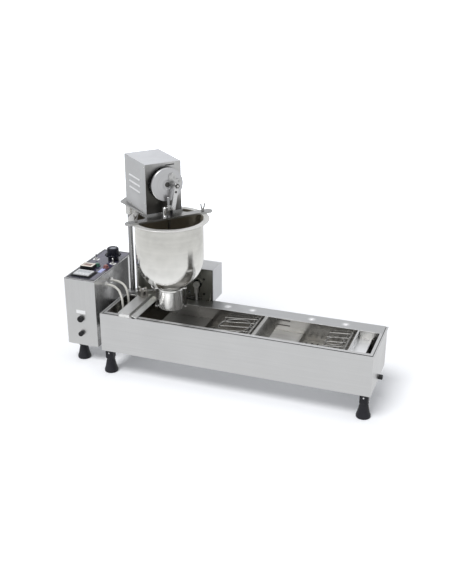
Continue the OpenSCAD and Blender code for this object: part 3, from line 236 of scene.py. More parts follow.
@asGroup(Amount=0.2)
def settledDust(given):
    # Dust in patches where a face looks up
    upward = remap(faceNormal(given["Vector"].id_data)["Z"], 0.4, 1.0)
    patches = remap(noise(given["Vector"], 70.0, 5.0, 0.65), 0.35, 0.75)
    patchy = compute("MULTIPLY", upward, patches)
    return {"Dust": compute("MULTIPLY", patchy, given["Amount"])}


@asGroup(Low=0.1, High=0.2, Waver=0.01)
def heightFade(given):
    # 0 at the low height and 1 at the high one, bent a little by clouds
    clouds = remap(noise(given["Vector"], 14.0, 3.0), 0.3, 0.7, -1.0, 1.0)
    bent = compute("MULTIPLY", clouds, given["Waver"])
    height = compute("ADD", splitVector(given["Vector"])["Z"], bent)
    return {"Fade": remap(height, given["Low"], given["High"])}


print("shader groups built")


# Finishes. Each starts as a plain shader and takes masks from the groups above.


def startFinish(name, colour, roughness, metallic=0.0, coat=0.0, coatRoughness=0.1):
    material = bpy.data.materials.new(name)
    material.use_nodes = True
    tree = material.node_tree
    shader = tree.nodes["Principled BSDF"]
    for label, value in {
        "Base Color": (*colour, 1), "Roughness": roughness, "Metallic": metallic,
        "Coat Weight": coat, "Coat Roughness": coatRoughness,
    }.items():
        shader.inputs[label].default_value = value
    place = addNode("TexCoord", tree=tree).outputs["Object"]
    return {"material": material, "shader": shader, "place": place}


def useGroup(finish, group, **values):
    node = finish["place"].id_data.nodes.new("ShaderNodeGroup")
    node.node_tree = group
    for label, value in {"Vector": finish["place"], **values}.items():
        join(value, node.inputs[label])
    return node.outputs


def current(socket):
    # What feeds a socket: a link or its own value
    return socket.links[0].from_socket if socket.links else socket.default_value


def tint(finish, mask, colour, share=1.0):
    # Lays a colour over what is there, where the mask is bright
    socket = finish["shader"].inputs["Base Color"]
    amount = compute("MULTIPLY", mask, share)
    join(mixColours(amount, current(socket), (*colour, 1)), socket)


def roughen(finish, mask, low, high):
    # Adds between low and high to the roughness, by the mask
    socket = finish["shader"].inputs["Roughness"]
    extra = remap(mask, 0.0, 1.0, low, high, "LINEAR")
    join(compute("ADD", extra, current(socket)), socket)


def emboss(finish, height, distance, strength=0.5):
    settings = {"Distance": distance, "Strength": strength, "Height": height}
    bump = addNode("Bump", settings)
    socket = finish["shader"].inputs["Normal"]
    if socket.links:
        join(current(socket), bump.inputs["Normal"])
    join(bump.outputs[0], socket)


def addDust(finish, amount, colour=(0.5, 0.49, 0.47), share=1.0, rough=0.35):
    settled = useGroup(finish, settledDust, Amount=amount)["Dust"]
    tint(finish, settled, colour, share)
    if rough:
        roughen(finish, settled, 0.0, rough)


def darker(colour, share):
    return tuple(part * share for part in colour)


def sheetSteel(name, colour, roughness, depth=0.8, upright=0.0, turn=0.0, size=7.0, dust=0.0,
               metallic=1.0):
    finish = startFinish(name, colour, roughness, metallic)
    if turn:
        # The grain follows a piece that stands at an angle
        finish["place"] = addNode("VectorRotate", {
            "rotation_type": "Z_AXIS", "Angle": math.radians(-turn), "Vector": finish["place"],
        }).outputs[0]
    grain = useGroup(finish, brushedGrain, Upright=upright)
    cloudy = useGroup(finish, smudges, Size=size)
    tint(finish, grain["Streak"], darker(colour, depth), 0.35)
    tint(finish, grain["Grain"], darker(colour, 0.85), 0.40)
    tint(finish, cloudy["Cloud"], darker(colour, depth), 0.30)
    roughen(finish, grain["Grain"], -0.05, 0.09)
    roughen(finish, cloudy["Cloud"], -0.02, 0.07)
    if dust:
        addDust(finish, dust)
    emboss(finish, grain["Grain"], 0.00004)
    return finish


def spunSteel(name, colour, roughness, centre, axis=(0, 0, 1), pitch=500.0, bands=1.0, sweep=0.3,
              metallic=1.0, stain=0.84, stained=0.30):
    finish = startFinish(name, colour, roughness, metallic)
    rings = useGroup(finish, turnedRings, Centre=centre, Axis=axis, Pitch=pitch, Bands=bands)
    cloudy = useGroup(finish, smudges, Size=10.0)
    tint(finish, rings["Sweep"], darker(colour, 0.78), sweep)
    tint(finish, cloudy["Cloud"], darker(colour, stain), stained)
    roughen(finish, rings["Rings"], -0.02, 0.05)
    roughen(finish, cloudy["Spots"], 0.0, 0.05)
    emboss(finish, rings["Rings"], 0.00003, 0.4)
    return finish


def brightSteel(name, colour, roughness, metallic=1.0):
    # Small bright parts: fine tumbled texture and faint handling marks
    finish = startFinish(name, colour, roughness, metallic)
    cloudy = useGroup(finish, smudges, Size=30.0)
    fine = noise(finish["place"], 700.0, 4.0, 0.65)
    tint(finish, cloudy["Cloud"], darker(colour, 0.72), 0.45)
    tint(finish, cloudy["Spots"], darker(colour, 0.55), 0.35)
    roughen(finish, fine, -0.05, 0.09)
    emboss(finish, fine, 0.00003)
    return finish


def tankSteel(name, colour, roughness, low, high, oil=(0.13, 0.10, 0.065), share=0.6, upright=0.0):
    finish = sheetSteel(name, colour, roughness, 0.72, upright)
    film = useGroup(finish, oilFilm, Low=low, High=high)["Film"]
    tint(finish, film, oil, share)
    roughen(finish, film, 0.0, 0.08)
    return finish


def mouldedPlastic(name, colour, roughness, coat=0.0, dust=0.12, pores=900.0, lift=0.00004,
                   gloss=0.5):
    finish = startFinish(name, colour, roughness, 0.0, coat)
    finish["shader"].inputs["Specular IOR Level"].default_value = gloss
    cloud = useGroup(finish, smudges, Size=30.0)["Cloud"]
    lighter = tuple(min(1.0, part * 1.35 + 0.012) for part in colour)
    tint(finish, cloud, lighter, 0.35)
    roughen(finish, cloud, -0.04, 0.08)
    addDust(finish, dust, (0.42, 0.41, 0.40), 0.6, 0.25)
    emboss(finish, noise(finish["place"], pores, 3.0, 0.6), lift, 0.6)
    return finish


def sprayedPaint(name, colour, roughness, shade=0.86, dust=0.1):
    finish = startFinish(name, colour, roughness, 0.0, 0.2, 0.25)
    cloud = useGroup(finish, smudges, Size=9.0)["Cloud"]
    tint(finish, cloud, darker(colour, shade), 0.5)
    roughen(finish, cloud, -0.03, 0.06)
    addDust(finish, dust, share=0.5, rough=0)
    emboss(finish, noise(finish["place"], 420.0, 2.0, 0.5), 0.00006)
    return finish


def fadeBy(finish, colour, low, high, waver=0.01, share=1.0):
    # Another colour towards the low height
    fade = useGroup(finish, heightFade, Low=low, High=high, Waver=waver)["Fade"]
    tint(finish, compute("SUBTRACT", 1.0, fade), colour, share)
    return finish


def mottle(finish, size, depth):
    # Wide shallow dents of hand polishing, so that reflections waver
    emboss(finish, noise(finish["place"], size, 2.0, 0.45), depth, 0.5)
    return finish


def fadeAcross(finish, colour, low, high, whose=atMachine):
    # Another colour towards the low place
    start, end = Vector(whose(*low)), Vector(whose(*high))
    along = (end - start) / (end - start).length_squared
    reach = vectorMath("DOT_PRODUCT", vectorMath("SUBTRACT", finish["place"], start), along)
    clouds = remap(noise(finish["place"], 16.0, 3.0), 0.3, 0.7, -0.12, 0.12)
    wavy = compute("ADD", reach, clouds)
    tint(finish, remap(wavy, 0.0, 1.0, 1.0, 0.0), colour)
    return finish


def bandBehind(finish, colour, start, end):
    # Another colour between two places along Y
    along = splitVector(finish["place"])["Y"]
    rise = remap(along, start, start + 0.006)
    fall = remap(along, end, end + 0.006, 1.0, 0.0)
    tint(finish, compute("MULTIPLY", rise, fall), colour)
    return finish


def paintedSpotHighlights(finish, colour, spots):
    # Soft painted highlights round the given spots
    highlightMask = 0.0
    for spot in spots:
        away = vectorMath("DISTANCE", finish["place"], atMachine(*spot))
        highlightMask = compute("MAXIMUM", remap(away, 0.003, 0.017, 0.9, 0.0), highlightMask)
    tint(finish, highlightMask, colour)
    return finish


deckStuds = [(x, 194, layout["rimHeight"]) for x in (527, 612, 810, 920)]
headAxis = tuple((headMatrix.to_3x3() @ Vector((0, 1, 0))).normalized())
discCentre = atHead(4, 12, layout["crankHeight"])
hopperCentre = atHead(0, 0, 400)
headTurn = layout["headTurn"]

finishes = {
    "casing": sheetSteel("troughCasingSteel", (0.68, 0.68, 0.68), 0.32, 0.88, size=5.0),
    # A paler copy of the casing steel for the trough's end sheet: painted light
    "litCasingEnd": sheetSteel("troughEndLitSteel", (0.97, 0.975, 0.98), 0.34, 0.98, size=5.0),
    "foldedEdge": sheetSteel("foldedEdgeSteel", (0.62, 0.62, 0.615), 0.46, 0.9),
    # The control box's front darkens a little towards the bottom: painted shade
    "controlFront": fadeBy(
        sheetSteel("controlBoxSteel", (0.66, 0.66, 0.66), 0.30, 0.86, 1.0, size=6.0),
        (0.62, 0.62, 0.615), 0.08, 0.26, 0.02),
    # Soft painted highlights round the deck's screws
    "deck": paintedSpotHighlights(
        # The deck darkens towards its left end: painted shade
        fadeAcross(
            sheetSteel("deckSteel", (0.57, 0.575, 0.58), 0.30, 0.84, dust=0.15),
            (0.29, 0.29, 0.285), (440, 190, 219), (620, 190, 219)),
        (0.86, 0.86, 0.86), deckStuds),
    # A lighter copy of the tank steel for the rim's upward faces: painted light
    "litRimTop": sheetSteel("rimTopLitSteel", (0.70, 0.70, 0.70), 0.28, 0.9),
    "chute": sheetSteel("chuteSteel", (0.96, 0.965, 0.97), 0.36, 0.96),
    "bridge": sheetSteel("bridgeSteel", (0.74, 0.74, 0.73), 0.34, 0.86),
    "yoke": sheetSteel("yokeSteel", (0.46, 0.46, 0.455), 0.28, 0.74, turn=headTurn),
    "base": sheetSteel("motorBaseSteel", (0.38, 0.38, 0.375), 0.30, 0.74, turn=headTurn),
    # The cover's front darkens towards its lower left: painted shade
    "coverFront": fadeAcross(
        sheetSteel("motorCoverFrontSteel", (0.58, 0.58, 0.575), 0.30, 0.76, 1.0, size=12.0),
        (0.07, 0.068, 0.062), (-30, 10, 600), (50, 10, 680), atHead),
    "tank": tankSteel("tankSteel", (0.42, 0.415, 0.40), 0.22, 0.11, 0.215),
    "landingTray": tankSteel("landingTraySteel", (0.28, 0.275, 0.265), 0.30, 0.10, 0.185),
    # The transfer tray darkens beyond its lower pan's start, under the second basket: painted
    # shade
    "transferTray": fadeAcross(
        tankSteel("transferTraySteel", (0.84, 0.835, 0.82), 0.30, 0.10, 0.172),
        (0.44, 0.435, 0.42), (800, 100, 150), (778, 100, 150)),
    "partition": tankSteel("partitionSteel", (0.48, 0.475, 0.46), 0.27, 0.13, 0.20, share=0.5),
    "drivePlate": tankSteel(
        "drivePlateSteel", (0.27, 0.27, 0.24), 0.26, 0.20, 0.30, (0.06, 0.055, 0.035), 0.4, 1.0),
    # The bowl grows paler towards its bottom: painted reflection
    "bowl": mottle(
        fadeBy(
            spunSteel("spunBowlSteel", (0.71, 0.70, 0.665), 0.11, hopperCentre, pitch=260.0,
                      sweep=0.45, stain=0.62, stained=0.45),
            (0.94, 0.935, 0.91), 0.34, 0.47, 0.015, 0.8),
        11.0, 0.0008),
    "bowlRim": spunSteel(
        "hopperRimSteel", (0.74, 0.735, 0.715), 0.42, hopperCentre, pitch=400.0, metallic=0.7),
    "bowlInside": fadeBy(
        spunSteel("bowlInsideSteel", (0.42, 0.385, 0.315), 0.32, hopperCentre, pitch=300.0,
                  metallic=0.45),
        (0.28, 0.25, 0.20), 0.36, 0.52),
    "nozzle": spunSteel(
        "nozzleSteel", (0.95, 0.945, 0.92), 0.17, hopperCentre, pitch=520.0, metallic=0.75),
    "disc": spunSteel(
        "turnedDiscSteel", (0.60, 0.60, 0.61), 0.34, discCentre, headAxis, 900.0, 0.0, 0.4),
    "shaft": spunSteel("drawnShaftSteel", (0.33, 0.33, 0.335), 0.18, hopperCentre, pitch=120.0),
}
# The control box's side goes near black towards its low back as painted shade, with a dark band of
# painted shade and then a pale band of painted reflection along Y
boxSide = fadeAcross(
    sheetSteel("controlSideSteel", (0.90, 0.90, 0.90), 0.20, 0.62, 1.0, size=5.0, metallic=0.72),
    (0.02, 0.02, 0.02), (112, 215, 190), (112, 60, 300))
bandBehind(boxSide, (0.03, 0.03, 0.03), 0.098, 0.130)
finishes["controlSide"] = bandBehind(boxSide, (0.86, 0.86, 0.86), 0.134, 0.20)

brightSteels = {
    "deckShine": ("deckScrewSteel", (0.84, 0.84, 0.85), 0.55),
    "bracket": ("crankBracketSteel", (0.58, 0.58, 0.575), 0.28),
    "rod": ("connectingRodSteel", (0.66, 0.66, 0.66), 0.22),
    "bolts": ("fastenerSteel", (0.66, 0.655, 0.64), 0.24),
    "darkBolt": ("darkFastenerSteel", (0.09, 0.088, 0.084), 0.38),
    "wingBolt": ("wingBoltSteel", (0.30, 0.295, 0.285), 0.32),
    "wire": ("basketWireSteel", (0.28, 0.275, 0.265), 0.40),
    "lever": ("driveLeverSteel", (0.56, 0.555, 0.53), 0.34, 0.85),
    "post": ("guidePostSteel", (0.84, 0.84, 0.84), 0.22),
    "dome": ("domeNutSteel", (0.95, 0.945, 0.93), 0.30, 0.45),
    "fitting": ("heaterFittingSteel", (0.86, 0.855, 0.84), 0.26),
    "buffer": ("bufferBlackSteel", (0.05, 0.05, 0.052), 0.42),
    "bronze": ("bearingBronze", (0.36, 0.345, 0.32), 0.40),
}
paints = {
    "coverSide": ("motorCoverSatin", (0.47, 0.475, 0.48), 0.40),
    # A lighter copy of the cover's satin for its top: painted light
    "litCoverTop": ("motorCoverTopLitSatin", (0.60, 0.61, 0.64), 0.38),
    "louvre": ("louvreSatin", (0.74, 0.745, 0.75), 0.34),
    "driveCover": ("driveCoverSatin", (0.90, 0.91, 0.93), 0.38, 0.94),
    "motor": ("motorPaint", (0.035, 0.036, 0.038), 0.45),
    "heater": ("heaterSheath", (0.62, 0.61, 0.57), 0.36, 0.8, 0.05),
}
# After the roughness: coat, dust, size and depth of the pores, and gloss
plastics = {
    "foldGap": ("foldGapShade", (0.012, 0.012, 0.011), 0.6, 0.0, 0.0, 900.0, 0.00004, 0.1),
    "levelLine": ("pressedLineShade", (0.03, 0.028, 0.024), 0.5),
    "panel": ("panelFilm", (0.035, 0.03, 0.075), 0.20, 0.6),
    "panelBorder": ("panelBorderPlastic", (0.012, 0.011, 0.016), 0.30, 0.2),
    "controller": ("controllerPlastic", (0.62, 0.63, 0.65), 0.36),
    "controllerWindow": ("controllerWindow", (0.40, 0.42, 0.45), 0.16, 0.5),
    "counter": ("counterPlastic", (0.78, 0.72, 0.65), 0.38),
    "counterWindow": ("counterWindow", (0.24, 0.12, 0.095), 0.14, 0.5),
    "black": ("blackPlastic", (0.010, 0.010, 0.012), 0.34, 0.0, 0.05, 900.0, 0.00004, 0.3),
    "knob": ("knobPlastic", (0.003, 0.0035, 0.010), 0.22, 0.0, 0.0, 900.0, 0.00004, 0.22),
    "knobTop": ("knobTopPlastic", (0.20, 0.215, 0.25), 0.24, 0.3, 0.0),
    "green": ("startButtonPlastic", (0.016, 0.11, 0.07), 0.20, 0.5),
    "red": ("stopButtonPlastic", (0.22, 0.07, 0.065), 0.26, 0.4),
    "rubber": ("footRubber", (0.010, 0.010, 0.014), 0.5, 0.0, 0.12, 500.0, 0.0001, 0.3),
    "whitePlate": ("bareWhitePlate", (0.92, 0.925, 0.93), 0.35),
    "bluePlate": ("bareBluePlate", (0.42, 0.45, 0.78), 0.30),
}
finishes.update((name, brightSteel(*row)) for name, row in brightSteels.items())
finishes.update((name, sprayedPaint(*row)) for name, row in paints.items())
finishes.update((name, mouldedPlastic(*row)) for name, row in plastics.items())
print("finishes built:", len(finishes))


# Shape builders. Each adds to a mesh under construction, in millimetres.

atOrigin = Matrix()


def addRing(bm, place, points):
    return [bm.verts.new(place @ Vector(point)) for point in points]


def loft(bm, rings, finish=0, closed=False):
    # Faces between rings of equal length; a ring may also be a single point
    for low, high in zip(rings, rings[1:] + rings[:1] if closed else rings[1:]):
        count = max(len(low), len(high))
        for step in range(count if count > 1 else 0):
            after = (step + 1) % count
            corners = [
                low[step % len(low)], low[after % len(low)],
                high[after % len(high)], high[step % len(high)],
            ]
            bm.faces.new(list(dict.fromkeys(corners))).material_index = finish


def turned(bm, profile, place, segments=48, closed=False, finish=0, ripple=None):
    # Spins (radius, height) pairs about the place's Z axis; ripple changes a radius by its angle
    rings = []
    for radius, height in profile:
        ring = []
        count = segments if radius > 0.001 else 1
        for step in range(count):
            angle = 2 * math.pi * step / count
            reach = ripple(angle, radius, height) if ripple else radius
            ring.append((reach * math.cos(angle), reach * math.sin(angle), height))
        rings.append(addRing(bm, place, ring))
    loft(bm, rings, finish, closed)


def swept(bm, points, radius, place, sides=12, loop=False):
    # A round bar along points, with slightly rounded ends
    path = [Vector(point) for point in points]
    radii = [radius] * len(path)
    if not loop:
        first = (path[0] - path[1]).normalized() * radius * 0.25
        last = (path[-1] - path[-2]).normalized() * radius * 0.25
        path = [path[0], path[0] - first] + path[1:-1] + [path[-1] - last, path[-1]]
        radii = [radius * 0.75, radius] + radii[1:-1] + [radius, radius * 0.75]
    count = len(path)
    rings = []
    side = None
    for index, point in enumerate(path):
        before = path[index - 1] if index or loop else point
        after = path[(index + 1) % count] if index < count - 1 or loop else point
        along = (after - before).normalized()
        side = side or along.orthogonal()
        side = (side - along * side.dot(along)).normalized()
        over = along.cross(side)
        ring = []
        for step in range(sides):
            angle = 2 * math.pi * step / sides
            ring.append(point + radii[index] * (math.cos(angle) * side + math.sin(angle) * over))
        rings.append(addRing(bm, place, ring))
    if not loop:
        bm.faces.new(rings[0])
        bm.faces.new(rings[-1])
    loft(bm, rings, closed=loop)


def extruded(bm, outline, low, high, place, finish=0):
    # A flat outline pulled from the low to the high level
    rings = [addRing(bm, place, [(x, y, level) for x, y in outline]) for level in (low, high)]
    for ring in rings:
        bm.faces.new(ring).material_index = finish
    loft(bm, rings, finish)


def framed(bm, width, depth, border, high, place):
    # A flat rectangular frame of a given border
    outer = roundedOutline(width, depth, 1.0)
    inner = roundedOutline(width - 2 * border, depth - 2 * border, 0.3)
    loft(bm, [
        addRing(bm, place, [(x, y, level) for x, y in outline])
        for outline, level in ((outer, 0), (outer, high), (inner, high), (inner, 0))
    ], closed=True)


def arc(start, end, steps, radius, x=0.0, y=0.0):
    # Points on a circle about (x, y), from the start to the end angle
    angles = [math.radians(start + (end - start) * step / steps) for step in range(steps + 1)]
    return [(x + radius * math.cos(angle), y + radius * math.sin(angle)) for angle in angles]


def roundedOutline(width, depth, radius):
    points = []
    for corner, (sideX, sideY) in enumerate(((1, 1), (-1, 1), (-1, -1), (1, -1))):
        x, y = sideX * (width / 2 - radius), sideY * (depth / 2 - radius)
        points += arc(90 * corner, 90 * corner + 90, 5, radius, x, y)
    return points


def hexOutline(across):
    return arc(0, 300, 5, across / 2 / math.cos(math.radians(30)))


def domeProfile(radius, height, crown):
    # A low round head: upright side, then a crown that closes on the axis
    curve = [(radius * x, height - crown + crown * y) for x, y in arc(0, 90, 6, 1)]
    return [(0, 0), (radius * 0.96, 0), (radius, 0.04 * radius)] + curve


def newPiece(name, bm, matrix, body, names, nodes=(), bevel=0.0, angle=32.0):
    # Turns a mesh under construction into a finished piece that rides on its body
    bmesh.ops.transform(bm, matrix=matrix, verts=bm.verts)
    bmesh.ops.recalc_face_normals(bm, faces=bm.faces)
    mesh = bpy.data.meshes.new(name)
    bm.to_mesh(mesh)
    bm.free()
    piece = bpy.data.objects.new(name, mesh)
    bpy.context.scene.collection.objects.link(piece)
    for finishName in names:
        mesh.materials.append(finishes[finishName]["material"])
    for face in mesh.polygons:
        face.use_smooth = True
    mesh.set_sharp_from_angle(angle=math.radians(angle))
    if bevel:
        softEdge = piece.modifiers.new("softEdge", "BEVEL")
        softEdge.width = bevel / 1000
        softEdge.segments = 2
        softEdge.limit_method = "ANGLE"
        softEdge.angle_limit = math.radians(38)
        softEdge.harden_normals = True
    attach(piece, body)
    if nodes:
        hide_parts(*nodes)
    return piece


record = frame["record"]
nodeBody = {
    node: body for body, nodes in record["behaviour"]["bodies"].items() for node in nodes
}


def standIn(node, bm, matrix, names, bevel=0.0, angle=32.0):
    # A piece built here that takes a node's place and body
    newPiece(
        node + "_built", bm, matrix, nodeBody[node], names, [node], bevel, angle)


def extraPiece(name, bm, node, names, bevel=0.0, matrix=machineMatrix):
    # A piece that no node stands for, on the body of the given node
    newPiece(name, bm, matrix, nodeBody[node], names, (), bevel)


def dressNode(node, names, bevel, chooseFinish=None, reshape=None):
    # The node's own form with welded faces and softened edges
    bm = bmesh.new()
    bm.from_mesh(frame["nodes"][node].data)
    bmesh.ops.remove_doubles(bm, verts=bm.verts, dist=2e-6)
    bmesh.ops.dissolve_limit(
        bm, angle_limit=math.radians(0.6), verts=bm.verts, edges=bm.edges, delimit={"NORMAL"})
    bm.normal_update()
    fresh = bmesh.new()
    copies = {vert: fresh.verts.new(reshape(vert.co) if reshape else vert.co) for vert in bm.verts}
    for face in bm.faces:
        copy = fresh.faces.new([copies[vert] for vert in face.verts])
        if chooseFinish:
            copy.material_index = chooseFinish(face.calc_center_median(), face.normal)
    bm.free()
    piece = newPiece(
        node + "_dressed", fresh, atOrigin, nodeBody[node], names, [node], bevel)
    for index, name in enumerate(names):
        if name in edgeFinishes:
            piece.modifiers["softEdge"].material = index
            break


# Sheet metal and machined parts that keep the form of their nodes

edgeFinishes = ("foldedEdge", "louvre")
facing = 0.7
# Where faces change finish, in metres, or in millimetres for the head's cover and yoke
faceSplits = {
    "endSheet": casingHigh.x - 0.002, "rim": layout["rimHeight"] / 1000, "coverHalf": 60.4,
    "controllerFlange": 0.3046, "counterFlange": 0.308, "yokeTip": -141, "yokeCut": 12,
}


def controlFace(centre, normal):
    return 1 if normal.x > facing else 0


def rimFace(centre, normal):
    # The trough's end sheet takes a paler copy of the casing steel as painted light, and the ledge
    # in its fold takes near black as painted shade
    if normal.x > facing and centre.x > faceSplits["endSheet"]:
        return 1
    under = faceSplits["rim"] - centre.z
    return 2 if normal.z > facing and 0.0012 < under < 0.004 else 0


def tankFace(centre, normal):
    # Upward faces at the rim take the lighter copy: painted light
    return 1 if normal.z > facing and centre.z > faceSplits["rim"] - 0.0006 else 0


def controllerFace(centre, normal):
    # A dark flange under the pale raised part
    return 1 if centre.z < faceSplits["controllerFlange"] else 0


def counterFace(centre, normal):
    # Only the counter's upward top is cream; all other faces are black, and on its sides that
    # black is painted shade
    return 0 if normal.z > facing and centre.z > faceSplits["counterFlange"] else 1


def coverFace(centre, normal):
    # Motor cover: satin sides, a top in a lighter copy of the satin as painted light, a brushed
    # front and pale louvres
    if abs((headMatrix.inverted() @ centre).x) > faceSplits["coverHalf"]:
        return 4
    if normal.z > facing:
        return 1
    return 2 if normal.dot(Vector(headAxis)) < -facing else 0


def trimTip(point):
    # The yoke's left tip ends a little earlier than its solid
    place = headMatrix.inverted() @ point
    if place.x < faceSplits["yokeTip"]:
        place.x += faceSplits["yokeCut"]
    return headMatrix @ place


# The softened edge's width and the finishes of each; the choosers point into the finishes
dressed = {
    "back_deck": (0.3, "deck", "foldedEdge"),
    "tank_partition": (0.3, "partition", "foldedEdge"),
    "landing_tray": (0.25, "landingTray"),
    "transfer_tray": (0.25, "transferTray"),
    "discharge_chute": (0.3, "chute"),
    "bridge_plate": (0.3, "bridge", "foldedEdge"),
    "control_back_cover": (0.3, "controlFront", "foldedEdge"),
    "gear_box_cover": (0.7, "driveCover"),
    "gear_front_plate": (0.3, "drivePlate"),
    "control_panel": (0.3, "panel"),
    "wiring_duct": (0.6, "black"),
    "flipper_link": (0.4, "bolts"),
    "drive_lever": (0.6, "lever"),
    "drain_spigot": (0.3, "bolts"),
    "knob_regulator": (0.4, "black"),
    "cable_gland": (0.5, "black"),
    "drive_motor": (1.0, "motor"),
    "column_base": (0.7, "bracket"),
    "head_clamp": (0.7, "bolts"),
    "motor_base": (0.5, "base", "foldedEdge"),
    "head_gearmotor": (1.0, "motor"),
    "crank_bracket": (0.5, "bracket"),
    "connecting_rod": (0.6, "rod"),
    "crosshead": (0.5, "bracket"),
    "bearing_block": (0.8, "bronze"),
    "rocker_arm": (0.4, "bolts"),
    "control_housing": (0.4, "controlFront", "controlSide", "foldedEdge"),
    "motor_cover": (0.4, "coverSide", "litCoverTop", "coverFront", "louvre", "louvre"),
    "trough_housing": (0.4, "casing", "litCasingEnd", "foldGap", "foldedEdge"),
    "oil_tank": (0.3, "tank", "litRimTop", "foldedEdge"),
    "yoke_bar": (0.6, "yoke", "foldedEdge"),
    "temperature_controller": (0.5, "controller", "black"),
    "counter_display": (0.6, "counter", "black"),
    "toggle_bodies": (0.35, "bolts"),
    "reset_cap": (0.35, "black"),
    "fuse_cap": (0.35, "black"),
}
choosers = {
    "control_housing": controlFace, "motor_cover": coverFace, "trough_housing": rimFace,
    "oil_tank": tankFace, "temperature_controller": controllerFace,
    "counter_display": counterFace,
}
for node, (bevel, *names) in dressed.items():
    dressNode(node, names, bevel, choosers.get(node), trimTip if node == "yoke_bar" else None)
print("nodes dressed:", len(dressed))


# Hopper: spun bowl with a flat rim and a rolled bead

bowl = {"radius": 108, "wall": 2, "rim": 127, "bead": 1.4, "top": 533, "low": 298, "mouth": 27}


def buildBowl(radius, wall, rim, bead, top, low, mouth):
    inner = radius - wall
    middle = low + radius
    # Rings up the straight wall keep its shading level
    heights = [middle + (top - 6 - middle) * step / 8 for step in range(1, 9)]
    outerStart = math.degrees(math.asin((mouth + 4) / radius))
    innerStart = math.degrees(math.asin(mouth / inner))
    profile = arc(outerStart - 90, 0, 32, radius, 0, middle)
    profile += [(radius, height) for height in heights]
    profile += [(radius, top - 5), (radius + 0.6, top - 3), (radius + 2.5, top - 2)]
    profile += arc(-110, 90, 8, bead, rim - bead, top - bead)
    profile += [(radius + 1, top), (inner + 0.7, top - 0.4), (inner, top - 2)]
    profile += [(inner, height) for height in reversed(heights)]
    profile += arc(0, innerStart - 90, 32, inner, 0, middle)
    bm = bmesh.new()
    turned(bm, profile, atOrigin, 128, True)
    bmesh.ops.recalc_face_normals(bm, faces=bm.faces)
    for face in bm.faces:
        centre = face.calc_center_median()
        out = centre - Vector((0, 0, max(centre.z, middle)))
        if centre.z > top - 3.5 and out.length > radius:
            face.material_index = 2
        elif face.normal.dot(out) < 0 and centre.z < top - 1:
            face.material_index = 1
    standIn("hopper_bowl", bm, headMatrix, ["bowl", "bowlInside", "bowlRim"], angle=50)


buildBowl(**bowl)

nozzle = {
    "radius": 39, "flange": 40.5, "bore": 27, "low": 233.5, "high": 302.5, "seat": 296.5,
    "rodTurn": -28, "rodAt": 46, "thin": 2.5, "nut": 9, "lug": 5.2, "lugHalf": 4.5, "lugLong": 10,
    "lugThick": 4,
}


def buildNozzle(radius, flange, bore, low, high, seat, rodTurn, rodAt, thin, nut, lug, lugHalf,
                lugLong, lugThick):
    spots = {side: rotated(rodTurn, "Z") @ standing(side * rodAt, 0, 0) for side in (-1, 1)}
    bm = bmesh.new()
    turned(bm, [
        (bore + 1, low), (radius - 1.2, low), (radius, low + 1.2), (radius, seat - 1.5),
        (radius + 0.5, seat - 0.4), (flange - 0.8, seat), (flange, seat + 0.8),
        (flange, high - 0.8), (flange - 0.8, high), (bore, high), (bore, low + 1),
    ], atOrigin, 96, True)
    for side, spot in spots.items():
        points = [(-lugLong, -lugHalf), *arc(-90, 90, 8, lug), (-lugLong, lugHalf)]
        outline = [(side * x, y) for x, y in points]
        for height in (low + 2, seat):
            extruded(bm, outline, height, height + lugThick, spot)
    standIn("nozzle", bm, headMatrix, ["nozzle"], 0.3)

    bm = bmesh.new()
    for spot in spots.values():
        turned(bm, [
            (0, low - 0.5), (thin - 0.7, low - 0.5), (thin, low + 0.3), (thin, high + 3),
            (thin - 0.8, high + 4), (0, high + 4),
        ], spot, 20, finish=1)
        under = standing(0, 0, low - 1.2) @ rotated(180, "X") @ standing(0, 0, -3.2)
        turned(bm, domeProfile(4.4, 3.2, 1.6), spot @ under, 20)
        extruded(bm, hexOutline(nut), low + 6, low + 10.5, spot, 1)
        extruded(bm, hexOutline(nut), high - 2, high + 2, spot, 1)
    standIn("nozzle_rods", bm, headMatrix, ["dome", "darkBolt"], 0.35)


buildNozzle(**nozzle)

plunger = {"radius": 4.5, "low": 279.5, "top": 602, "piston": 26, "pistonLow": 255.5}


def buildPlunger(radius, low, top, piston, pistonLow):
    bm = bmesh.new()
    turned(bm, [(0, low), (radius, low), (radius, top - 1), (radius - 1, top), (0, top)],
           atOrigin, 32)
    standIn("plunger_rod", bm, headMatrix, ["shaft"])
    bm = bmesh.new()
    groove = piston - 0.8
    turned(bm, [
        (0, pistonLow), (piston - 3, pistonLow), (piston, pistonLow + 4), (piston, pistonLow + 10),
        (groove, pistonLow + 10.6), (groove, pistonLow + 12), (piston, pistonLow + 12.6),
        (piston, low - 0.6), (piston - 0.6, low), (0, low),
    ], atOrigin, 64)
    standIn("forming_piston", bm, headMatrix, ["bolts"])


buildPlunger(**plunger)

# Crank: faced disc on its shaft, with the pin's nut and a set screw in the rod

crank = {
    "edge": 53, "thick": 8, "hub": 14, "shaft": 9, "shaftEnd": 73, "centreU": 4, "faceV": 12,
    "pinU": 24, "rodFace": -13.75, "nut": 12.5, "screwU": 20, "screwDrop": 19,
}


